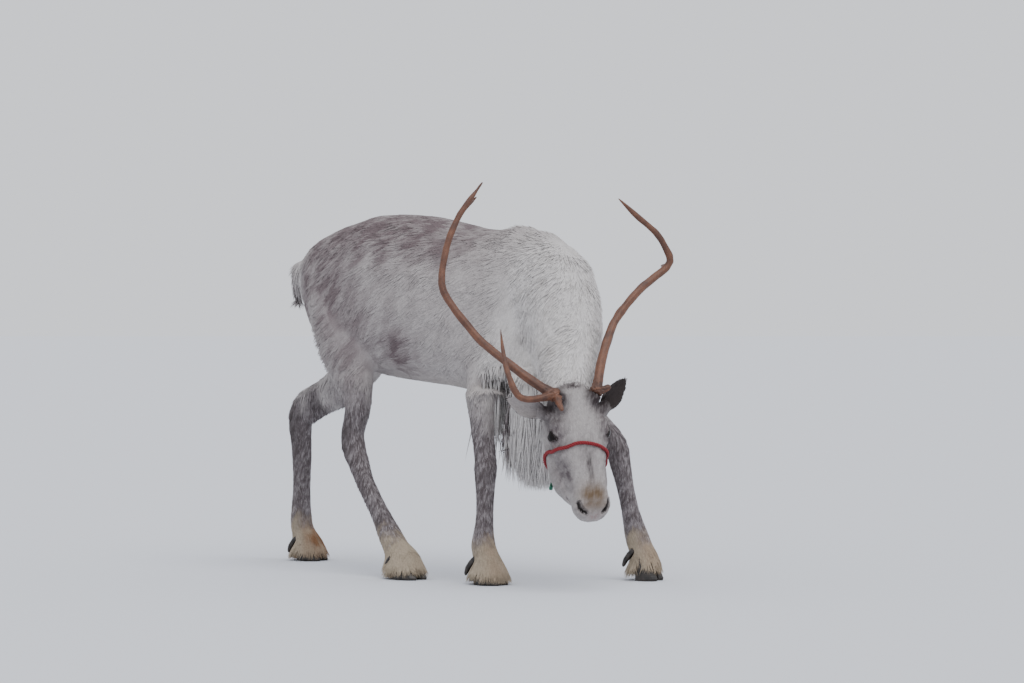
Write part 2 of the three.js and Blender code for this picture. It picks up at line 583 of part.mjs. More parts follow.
// Each beam is cut at its two main bends; its tines, stubs and points start on its surface
const antlers = [];
const antlerSeats = [];
[['R', RIGHT_BEAM, [4, 7]], ['L', LEFT_BEAM, [4, 8]]].forEach(([side, route, bends]) => {
  const places = route.map((row) => onHead(row.slice(0, 3)));
  let beam = antlerForm(route).add(burrForm(route));
  ['lower', 'middle', 'upper'].forEach((part, i) => {
    const place = places[bends[i]];
    if (!place) {
      antlers.push([`antler_${side}_${part}`, beam]);
      return;
    }
    const onward = places[bends[i] + 1].clone().sub(places[bends[i] - 1]);
    const [beyond, before] = split(beam, place, onward, 800, 900, 900);
    antlers.push([`antler_${side}_${part}`, before]);
    beam = beyond;
  });
  const clear = antlerForm(route, GAP).add(burrForm(route, GAP));
  antlerSeats.push(clear);
  TINES[side].forEach(([name, tine]) => {
    antlers.push([`antler_${side}_${name}`, largest(antlerForm(tine).subtract(clear))]);
    antlerSeats.push(antlerForm(tine, GAP));
  });
});

function headSolid() {
  const skull = headForm(headStations, { sides: 16, steps: 2, upright: FORWARD });
  const lids = Object.values(eyes).map((eye) => eye.lids);
  return together([skull, jawForm(), browForm(1), browForm(-1), ...pedicles, ...lids]);
}

const legs = Object.values(LEGS).map(legForm);
let body = together([headSolid(), neckForm(), maneForm(), trunkForm(), tailForm(), ...legs]);
Object.values(eyes).forEach((eye) => {
  body = body.subtract(eye.socket).subtract(eye.opening);
});
body = together([body, ears.L, ears.R]);
[mouthGroove(), nostril(1), nostril(-1), nosebandForm(GAP), ...antlerSeats].forEach((hollow) => {
  body = body.subtract(hollow);
});

// Each cut takes a piece off what is left of the body
const pieces = [];
function cutOff(name, look, place, direction, reach, width, height, lean) {
  const [piece, rest] = split(body, place, direction, reach, width, height, lean);
  pieces.push([name, look, piece]);
  body = rest;
}

const headWay = (d) => onHead(d).sub(onHead([0, 0, 0]));
cutOff('ear_L', EAR_COAT, onHead([58, 92, -42]), headWay([-76, 87, 22]), 130, 100, 110);
cutOff('ear_R', EAR_COAT, onHead([58, -90, -52]), headWay([-54, -76, -26]), 130, 100, 110);
cutOff('head', COAT, onHead([66, 0, -126]), headWay([0.86, 0, 0.51]), 480, 250, 380, headWay([0, 0, 1]));
cutOff('tail', COAT, vec([-818, 0, 925]), vec([-0.86, 0, -0.5]), 120, 110, 150);

Object.entries(LEGS).forEach(([key, leg]) => {
  [1, -1].forEach((side) => {
    const place = side === Math.sign(leg.foot[1]) ? 'outer' : 'inner';
    const claw = hoofForm(leg, side);
    body = body.subtract(hoofForm(leg, side, GAP));
    pieces.push([`hoof_${key}_${place}`, HORN, claw]);
    body = body.subtract(dewclawForm(leg, side, GAP));
    pieces.push([`dewclaw_${key}_${place}`, HORN, dewclawForm(leg, side)]);
  });
  body = largest(body);
  const ankle = vec([...leg.foot, leg.fetlock]);
  cutOff(`leg_${key}_foot`, FOOT_COAT, ankle, DOWN, leg.fetlock + 20, 260, 260, FORWARD);
  const shank = leg.joints.find((row) => row[2] < leg.cannon);
  const knee = vec([...shank.slice(0, 2), leg.cannon]);
  cutOff(`leg_${key}_cannon`, LEG_COAT, knee, DOWN, leg.cannon, 190, CANNON_REACH, FORWARD);
});

const upperCuts = {
  FR: [[-38, -142, 560], [0, 0, -1], 176],
  FL: [[124, 108, 560], [0, 0, -1], 300],
  HR: [[-505, -142, 600], [0, 0, -1], 300],
  HL: [[-724, 126, 628], [-0.8, 0, -0.6], 250],
};
Object.entries(upperCuts).forEach(([key, [place, direction, height]]) => {
  cutOff(`leg_${key}_upper`, LEG_COAT, vec(place), vec(direction), 380, 160, height, FORWARD);
});
const [front, torso] = split(body, vec([40, 5, 640]), vec([0.93, -0.28, -0.22]), 420, 480, 860);
const [throat, neck] = split(front, vec([128, -90, 618]), DOWN, 400, 300, 300, FORWARD);
pieces.unshift(['torso', COAT, torso], ['neck', MANE, neck], ['throat_mane', MANE, throat]);
Object.entries(eyes).forEach(([side, eye]) => pieces.push([`eye_${side}`, EYE, eye.eyeball]));
antlers.forEach(([name, antler]) => pieces.push([name, ANTLER, antler]));
pieces.push(['halter_noseband', RED_ROPE, nosebandForm()], ['halter_tie', GREEN_ROPE, tieForm()]);

// The group of named meshes, standing on its origin under the middle of its box
const reindeer = new THREE.Group();
pieces.forEach(([name, look, piece]) => {
  const { vertProperties, triVerts } = piece.getMesh();
  const geometry = new THREE.BufferGeometry();
  geometry.setAttribute('position', new THREE.BufferAttribute(Float32Array.from(vertProperties), 3));
  geometry.setIndex(Array.from(triVerts));
  geometry.computeVertexNormals();
  const mesh = new THREE.Mesh(geometry, new THREE.MeshStandardMaterial(look));
  mesh.name = name;
  reindeer.add(mesh);
});
const centre = new THREE.Box3().setFromObject(reindeer).getCenter(new THREE.Vector3());
reindeer.position.set(-centre.x, -centre.y, 0);

export default reindeer;
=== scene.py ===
# A reindeer standing with its head lowered and turned to its right, in its white winter coat.
# A still, life-size model as a museum shows it: one skin, a coat of solid tufts, bone antlers,
# horn hooves, smooth dark eyes and a rope halter. Metres, +X forward, +Y to the animal's left.

import json
import math

import bpy
import numpy as np
from mathutils import Matrix, Vector
from mathutils.bvhtree import BVHTree

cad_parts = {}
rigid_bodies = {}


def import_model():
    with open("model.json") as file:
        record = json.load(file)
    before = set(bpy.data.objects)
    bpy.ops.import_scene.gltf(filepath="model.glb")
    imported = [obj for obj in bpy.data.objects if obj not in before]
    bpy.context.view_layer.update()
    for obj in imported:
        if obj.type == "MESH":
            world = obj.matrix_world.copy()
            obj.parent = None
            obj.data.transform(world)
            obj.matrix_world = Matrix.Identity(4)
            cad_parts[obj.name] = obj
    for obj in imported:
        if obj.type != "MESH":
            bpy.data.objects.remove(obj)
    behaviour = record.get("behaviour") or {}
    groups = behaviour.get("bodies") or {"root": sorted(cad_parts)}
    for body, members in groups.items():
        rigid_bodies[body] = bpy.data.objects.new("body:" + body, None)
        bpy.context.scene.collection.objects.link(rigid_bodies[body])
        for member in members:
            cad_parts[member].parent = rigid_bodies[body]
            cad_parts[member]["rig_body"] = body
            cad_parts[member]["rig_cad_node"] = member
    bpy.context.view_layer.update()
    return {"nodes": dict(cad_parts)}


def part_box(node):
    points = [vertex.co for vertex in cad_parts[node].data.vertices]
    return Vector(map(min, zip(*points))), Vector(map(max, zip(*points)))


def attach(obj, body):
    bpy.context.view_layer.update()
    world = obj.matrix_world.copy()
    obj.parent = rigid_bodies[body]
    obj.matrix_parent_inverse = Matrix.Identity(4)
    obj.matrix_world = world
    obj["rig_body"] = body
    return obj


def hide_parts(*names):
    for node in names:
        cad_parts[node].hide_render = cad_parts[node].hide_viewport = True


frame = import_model()

# Camera
# The photograph was taken from the animal's right front, about eight metres away and at the
# height of its elbow, through a short telephoto lens.
CAMERA_PLACE = (5.1192, -6.6175, 0.7147)
CAMERA_TURN = 36.0
CAMERA_DIP = 0.151
LENS = 100.0

camera = bpy.data.objects.new("camera", bpy.data.cameras.new("camera"))
camera.data.lens = LENS
camera.location = CAMERA_PLACE
camera.rotation_euler = (math.radians(90.0 - CAMERA_DIP), 0.0, math.radians(CAMERA_TURN))
bpy.context.scene.collection.objects.link(camera)
bpy.context.scene.camera = camera

# The head's own directions
# The eyes sit where the skull says, so they give the place of the poll between the antlers:
# from there x runs to the nose, y to the head's left and z out of the forehead.
HEAD_TURN = -27.8
HEAD_DROOP = 62.1
HEAD_TILT = 7.0
EYE_AHEAD = 0.138
EYE_ASIDE = 0.074
EYE_BELOW = 0.044
EYE_RADIUS = 0.0175
POLL_ON_BODY = Vector((0.349, -0.245, 0.580))


def middle(node):
    low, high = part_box(node)
    return (low + high) / 2


head_turn = (
    Matrix.Rotation(math.radians(HEAD_TURN), 4, "Z")
    @ Matrix.Rotation(math.radians(HEAD_DROOP), 4, "Y")
    @ Matrix.Rotation(math.radians(HEAD_TILT), 4, "X")
)
between_eyes = (middle("eye_L") + middle("eye_R")) / 2
poll = between_eyes - head_turn @ Vector((EYE_AHEAD, 0.0, -EYE_BELOW))
head_axes = np.array(head_turn.to_3x3())
body_origin = np.array(poll - POLL_ON_BODY)


def in_head(points):
    """Places in the head's frame, in metres, from places on the animal."""
    return (np.asarray(points) - np.array(poll)) @ head_axes


def from_head(points):
    return np.asarray(points) @ head_axes.T + np.array(poll)


# Skin
# The hide over the whole animal, one closed surface from nose to tail. It lies under the coat
# by the coat's own depth, and shows only where the hair is short: nose, lips, lids and ears.
LEGS = ("FR", "FL", "HR", "HL")
FLESH = ["torso", "neck", "head", "tail", "ear_L", "ear_R"] + [
    f"leg_{leg}_{part}" for leg in LEGS for part in ("upper", "cannon", "foot")
]
SKIN_GRAIN = 0.003
SKIN_FACES = 110000
SOCKET_SLACK = 0.003

# Core of the throat mane, places on the body and radii
MANE_CORE = [
    ((0.114, -0.050, 0.670), 0.086),
    ((0.122, -0.078, 0.590), 0.080),
    ((0.128, -0.096, 0.520), 0.064),
    ((0.136, -0.110, 0.462), 0.044),
    ((0.141, -0.118, 0.424), 0.020),
]


def select_only(*pieces):
    bpy.ops.object.select_all(action="DESELECT")
    for piece in pieces:
        piece.select_set(True)
    bpy.context.view_layer.objects.active = pieces[0]


def copy_of(nodes, name):
    """One new piece that holds copies of CAD nodes, with their doubled points merged."""
    select_only(*[frame["nodes"][node] for node in nodes])
    bpy.ops.object.duplicate()
    copies = list(bpy.context.selected_objects)
    bpy.ops.object.parent_clear(type="CLEAR_KEEP_TRANSFORM")
    bpy.context.view_layer.objects.active = copies[0]
    if len(copies) > 1:
        bpy.ops.object.join()
    piece = bpy.context.view_layer.objects.active
    piece.name = name
    piece.data.name = name
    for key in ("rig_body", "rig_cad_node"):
        if key in piece:
            del piece[key]
    piece.data.materials.clear()
    bpy.ops.object.mode_set(mode="EDIT")
    bpy.ops.mesh.select_all(action="SELECT")
    bpy.ops.mesh.remove_doubles(threshold=0.00002)
    bpy.ops.object.mode_set(mode="OBJECT")
    return piece


def apply_modifier(piece, kind, **settings):
    select_only(piece)
    modifier = piece.modifiers.new(kind, kind)
    for key, value in settings.items():
        setattr(modifier, key, value)
    bpy.ops.object.modifier_apply(modifier=modifier.name)


def coordinates(mesh):
    places = np.empty(3 * len(mesh.vertices), np.float32)
    mesh.vertices.foreach_get("co", places)
    return places.reshape(-1, 3).astype(float)


def set_coordinates(mesh, places):
    mesh.vertices.foreach_set("co", places.astype(np.float32).ravel())
    mesh.update()


def normals(mesh):
    directions = np.empty(3 * len(mesh.vertices), np.float32)
    mesh.vertices.foreach_get("normal", directions)
    return directions.reshape(-1, 3).astype(float)


def averaged(mesh, values, times, share=0.5):
    """Values at a mesh's points, averaged with their neighbours a number of times."""
    pairs = np.empty(2 * len(mesh.edges), np.int32)
    mesh.edges.foreach_get("vertices", pairs)
    a, b = pairs.reshape(-1, 2).T
    count = len(mesh.vertices)
    degree = np.bincount(pairs, minlength=count).clip(1)
    values = values.copy()
    for _ in range(times):
        for k in range(values.shape[1]):
            column = values[:, k]
            total = np.bincount(a, column[b], count) + np.bincount(b, column[a], count)
            values[:, k] = column + share * (total / degree - column)
    return values


def smooth_step(value, low, high):
    t = np.clip((value - low) / (high - low), 0.0, 1.0)
    return t * t * (3.0 - 2.0 * t)


def unit(vectors):
    return vectors / np.linalg.norm(vectors, axis=-1, keepdims=True).clip(1e-9)


def square_to(vectors, axes):
    """Directions turned until each is at right angles to its axis."""
    return unit(vectors - axes * (vectors * axes).sum(1, keepdims=True))


def nearness(points, place, spread):
    """1 at a place, falling softly to 0 over a spread along each axis."""
    return np.exp(-(((points - np.array(place)) / np.array(spread)) ** 2).sum(1))


def folded(points):
    """Places with the right side laid onto the left."""
    return np.stack([points[:, 0], np.abs(points[:, 1]), points[:, 2]], 1)


def mixed(colour, other, share):
    return colour + (other - colour) * share[:, None]


def shade_smooth(mesh):
    mesh.polygons.foreach_set("use_smooth", np.ones(len(mesh.polygons), bool))


def placed(name, mesh):
    piece = bpy.data.objects.new(name, mesh)
    bpy.context.scene.collection.objects.link(piece)
    return piece


core = []
for (high, wide), (low, narrow) in zip(MANE_CORE, MANE_CORE[1:]):
    top = Vector(high) + Vector(body_origin)
    foot = Vector(low) + Vector(body_origin)
    bpy.ops.object.select_all(action="DESELECT")
    bpy.ops.mesh.primitive_cone_add(
        vertices=24,
        radius1=narrow,
        radius2=wide,
        depth=(top - foot).length * 1.2,
        location=(top + foot) / 2,
        rotation=(top - foot).to_track_quat("Z", "Y").to_euler(),
    )
    core.append(bpy.context.active_object)
eye_plugs = []
for side in ("L", "R"):
    bpy.ops.object.select_all(action="DESELECT")
    bpy.ops.mesh.primitive_uv_sphere_add(
        radius=EYE_RADIUS + SOCKET_SLACK, location=middle(f"eye_{side}")
    )
    eye_plugs.append(bpy.context.active_object)

skin = copy_of(FLESH, "skin")
select_only(skin, *core, *eye_plugs)
bpy.ops.object.join()
apply_modifier(skin, "REMESH", mode="VOXEL", voxel_size=SKIN_GRAIN)

# Which part of the animal each point of the skin belongs to, faded over the joints
REGIONS = ["torso", "neck", "throat", "head", "tail", "ear", "upper", "cannon", "foot"]
corner_places = []
corner_faces = []
face_region = []
for node in FLESH + ["throat_mane"]:
    mesh = frame["nodes"][node].data
    base = len(corner_places)
    corner_places += [vertex.co.copy() for vertex in mesh.vertices]
    region = next(k for k, name in enumerate(REGIONS) if name in node)
    for face in mesh.polygons:
        corner_faces.append([base + k for k in face.vertices])
        face_region.append(region)
solids_tree = BVHTree.FromPolygons(corner_places, corner_faces)


def regions_of(mesh, fade):
    share = np.zeros((len(mesh.vertices), len(REGIONS)))
    for k, vertex in enumerate(mesh.vertices):
        share[k, face_region[solids_tree.find_nearest(vertex.co)[2]]] = 1.0
    return averaged(mesh, share, fade, 0.8)


def region(share, *names):
    return sum(share[:, REGIONS.index(name)] for name in names)


# Facets are smoothed away most on the broad trunk, less on limbs and head, and not on the ears
share = regions_of(skin.data, 12)
places = coordinates(skin.data)
slight = averaged(skin.data, places, 9)
limb = averaged(skin.data, slight, 12)
broad = averaged(skin.data, limb, 60, 0.9)
slight_share = region(share, "head", "tail")[:, None]
limb_share = region(share, "upper", "cannon", "foot", "throat")[:, None]
broad_share = region(share, "torso", "neck")[:, None]
firm_share = 1.0 - slight_share - limb_share - broad_share
places = places * firm_share + slight * slight_share + limb * limb_share + broad * broad_share
set_coordinates(skin.data, places)

# The coat's depth: how far the hide lies below the hair tips in each region
COAT_DEPTH = {
    "torso": 0.008, "neck": 0.010, "throat": -0.002, "head": 0.0016, "tail": 0.002,
    "ear": 0.0004, "upper": 0.004, "cannon": 0.0012, "foot": 0.0010,
}
depth = sum(region(share, name) * value for name, value in COAT_DEPTH.items())
places = places - normals(skin.data) * depth[:, None]
set_coordinates(skin.data, places)

# Only the head keeps the full grain; the rest of the hide is thinned to larger faces
body_group = skin.vertex_groups.new(name="thinned")
fine = (region(share, "head", "ear") > 0.25) & (in_head(places)[:, 0] > -0.02)
body_group.add([int(k) for k in np.nonzero(~fine)[0]], 1.0, "REPLACE")
all_faces = len(skin.data.polygons) * 2
apply_modifier(
    skin,
    "DECIMATE",
    ratio=SKIN_FACES / all_faces,
    vertex_group="thinned",
    use_collapse_triangulate=True,
)
skin.vertex_groups.clear()

# Head
# Bone and muscle under short hair: hollows round the eyes, lids, a tear corner, comma-shaped
# nostrils, the line of the mouth, soft lips and the folds behind them.
head_part = in_head(coordinates(skin.data))


def refine(chosen):
    """Divides the skin's faces whose points are all chosen."""
    select_only(skin)
    mesh = skin.data
    corner = np.empty(len(mesh.loops), np.int32)
    mesh.loops.foreach_get("vertex_index", corner)
    start = np.empty(len(mesh.polygons), np.int32)
    mesh.polygons.foreach_get("loop_start", start)
    picked = np.logical_and.reduceat(chosen[corner], start)
    for field in (mesh.vertices, mesh.edges):
        field.foreach_set("select", np.zeros(len(field), bool))
    mesh.polygons.foreach_set("select", picked)
    bpy.ops.object.mode_set(mode="EDIT")
    bpy.ops.mesh.select_mode(type="FACE")
    bpy.ops.object.mode_set(mode="OBJECT")
    mesh.polygons.foreach_set("select", picked)
    bpy.ops.object.mode_set(mode="EDIT")
    bpy.ops.mesh.subdivide(number_cuts=1)
    bpy.ops.object.mode_set(mode="OBJECT")


def near_eye(points, reach):
    centre = np.array([EYE_AHEAD, EYE_ASIDE, -EYE_BELOW])
    return np.linalg.norm(folded(points) - centre, axis=1) < reach


# The nose and the skin round the eyes are divided once, and the lids once more
NOSE_START = 0.290
EYE_SURROUND = 0.034
LIDS_REACH = 0.030
refine(near_eye(head_part, EYE_SURROUND) | (head_part[:, 0] > NOSE_START))
head_part = in_head(coordinates(skin.data))
refine(near_eye(head_part, LIDS_REACH))

head_part = in_head(coordinates(skin.data))
out = normals(skin.data) @ head_axes
on_head = smooth_step(head_part[:, 0], 0.02, 0.06)
on_head = on_head * (region(regions_of(skin.data, 4), "head") > 0.4)


def along_line(line, squash=1.0):
    """Distance of the head's points to a line of places, on both sides, and the share along it."""
    points = folded(head_part) * [1.0, 1.0, squash]
    line = np.array(line) * [1.0, 1.0, squash]
    best = np.full(len(points), 1.0)
    share_along = np.zeros(len(points))
    for k, (a, b) in enumerate(zip(line, line[1:])):
        a, b = np.array(a), np.array(b)
        t = np.clip(((points - a) @ (b - a)) / ((b - a) @ (b - a)), 0.0, 1.0)
        gap = np.linalg.norm(points - a - t[:, None] * (b - a), axis=1)
        nearer = gap < best
        best[nearer] = gap[nearer]
        share_along[nearer] = (k + t[nearer]) / (len(line) - 1)
    return best, share_along


# Forms under the hair, as places ahead, aside and up from the poll, spreads and heights
HEAD_FORMS = [
    ((0.176, 0.054, -0.020), (0.030, 0.014, 0.012), -0.0035),
    ((0.186, 0.078, -0.054), (0.020, 0.012, 0.012), -0.0040),
    ((0.134, 0.066, -0.016), (0.026, 0.012, 0.010), 0.0040),
    ((0.168, 0.076, -0.074), (0.030, 0.012, 0.010), 0.0030),
    ((0.250, 0.062, -0.062), (0.040, 0.012, 0.014), -0.0040),
    ((0.290, 0.000, -0.030), (0.040, 0.012, 0.012), 0.0030),
    ((0.100, 0.000, 0.000), (0.040, 0.030, 0.020), -0.0030),
    ((0.342, 0.036, -0.070), (0.014, 0.014, 0.014), 0.0040),
    ((0.350, 0.020, -0.112), (0.020, 0.020, 0.010), 0.0025),
]
head_folded = folded(head_part)
rise = sum(height * nearness(head_folded, place, spread) for place, spread, height in HEAD_FORMS)

MOUTH_LINE = [
    (0.286, 0.058, -0.104), (0.306, 0.054, -0.102), (0.326, 0.049, -0.098),
    (0.346, 0.041, -0.096), (0.362, 0.026, -0.098), (0.374, 0.000, -0.102),
]
MOUTH_WIDTH = 0.0022
mouth_gap = along_line(MOUTH_LINE)[0]
rise -= 0.0042 * np.exp(-((mouth_gap / MOUTH_WIDTH) ** 2))
rise += 0.0014 * np.exp(-(((mouth_gap - 0.0065) / 0.0035) ** 2))

NOSTRIL_LINE = [
    (0.336, 0.043, -0.060), (0.347, 0.040, -0.066), (0.357, 0.032, -0.072), (0.362, 0.022, -0.080),
]
NOSTRIL_SQUASH = 0.4
NOSTRIL_WIDTH = 0.0054
NOSTRIL_DEPTH = 0.012
nostril_gap, nostril_share = along_line(NOSTRIL_LINE, NOSTRIL_SQUASH)
nostril_arch = 0.35 + 0.65 * np.sin(math.pi * nostril_share.clip(0.1, 0.95))
rise -= NOSTRIL_DEPTH * np.exp(-((nostril_gap / NOSTRIL_WIDTH) ** 4)) * nostril_arch
rise += 0.0020 * np.exp(-(((nostril_gap - 0.0085) / 0.0030) ** 2))

CLEFT_LINE = [(0.366, 0.0, -0.072), (0.374, 0.0, -0.086), (0.378, 0.0, -0.098)]
cleft_gap = along_line(CLEFT_LINE)[0]
rise -= 0.0014 * np.exp(-((cleft_gap / 0.0018) ** 2))
for start, drop in ((0.276, 0.0), (0.266, 0.006)):
    fold = [(start, 0.066, -0.088 - drop), (start - 0.004, 0.067, -0.104 - drop)]
    fold_gap = along_line(fold)[0]
    rise -= 0.0012 * np.exp(-((fold_gap / 0.0025) ** 2))
head_part = head_part + out * (rise * on_head)[:, None]

# Lids: an almond opening over the eyeball, thick wet rims, and a crease above the upper lid
LID = 0.0022
EYE_OPENING = (0.0162, 0.0122)
eye_mask = np.zeros(len(head_part))
lid_mask = np.zeros(len(head_part))
for side in (1.0, -1.0):
    centre = np.array([EYE_AHEAD, side * EYE_ASIDE, -EYE_BELOW])
    outward = unit(np.array([0.02, side * 0.96, 0.28]))
    forward = unit(np.array([1.0, 0.0, 0.06]) - outward * (np.array([1.0, 0.0, 0.06]) @ outward))
    upward = np.cross(outward, forward)
    upward = upward if upward[2] > 0 else -upward
    offset = head_part - centre
    reach = np.linalg.norm(offset, axis=1)
    facing = offset @ outward
    u = (offset @ forward) / EYE_OPENING[0]
    v = (offset @ upward) / EYE_OPENING[1]
    v = v - 0.22 * u * np.abs(u)
    almond = np.sqrt(u * u * 0.80 + v * v + 0.22 * np.abs(u) ** 4)
    near = (facing > 0.0) & (reach < 0.045)
    inside = near * (1.0 - smooth_step(almond, 0.92, 1.06))
    rim = near * smooth_step(almond, 0.95, 1.12) * (1.0 - smooth_step(almond, 1.5, 2.7))
    crease = near * np.exp(-(((almond - 2.05) / 0.22) ** 2)) * (v > 0.2)
    target = reach * (1.0 - rim) + (EYE_RADIUS + LID) * rim
    target = target * (1.0 - inside) + (EYE_RADIUS - 0.0035) * inside
    target -= 0.0016 * crease
    head_part = centre + offset * (target / reach.clip(1e-6))[:, None]
    eye_mask = np.maximum(eye_mask, inside)
    lid_mask = np.maximum(lid_mask, near * np.exp(-(((almond - 1.12) / 0.28) ** 2)))
set_coordinates(skin.data, from_head(head_part))

# Markings
# The winter coat is off-white, with a mauve-brown cast over the back, rump and thighs, a darker
# patch in the fold of each flank, grizzled legs, cream feet, and a grey and tan face.


def linear(hex_colour):
    """An sRGB hex colour as linear red, green and blue."""
    channels = [int(hex_colour[k:k + 2], 16) / 255.0 for k in (1, 3, 5)]
    return np.array([c / 12.92 if c <= 0.04045 else ((c + 0.055) / 1.055) ** 2.4 for c in channels])


def ripple(points, wavelength, seed):
    """Smooth random values about 0, within about 1, that vary over a wavelength in metres."""
    rng = np.random.default_rng(seed)
    ways = unit(rng.normal(size=(9, 3))) * rng.uniform(0.7, 1.5, (9, 1))
    phases = rng.uniform(0, 2 * math.pi, 9)
    return np.sin(points @ (ways.T * (2 * math.pi / wavelength)) + phases).sum(1) / 3.2


OFF_WHITE = linear("#b2acaa")
MANE_WHITE = linear("#cdc9c7")
MAUVE_BROWN = linear("#6a5d5f")
UMBER = linear("#2e2426")
LEG_GREY = linear("#493f41")
LEG_PALE = linear("#8f888a")
FOOT_CREAM = linear("#a89a86")
FOOT_TAN = linear("#7f5c3f")
FACE_GREY = linear("#5d5456")
MUZZLE_TAN = linear("#5f4a30")
EAR_BROWN_AND_SHADE = linear("#1f1514")
TEAR_PINK = linear("#8f6a66")
LIP_DARK_AND_NOSTRIL_SHADE = linear("#2e2626")
LEG_TOP = 0.510
FOOT_TOP = 0.130


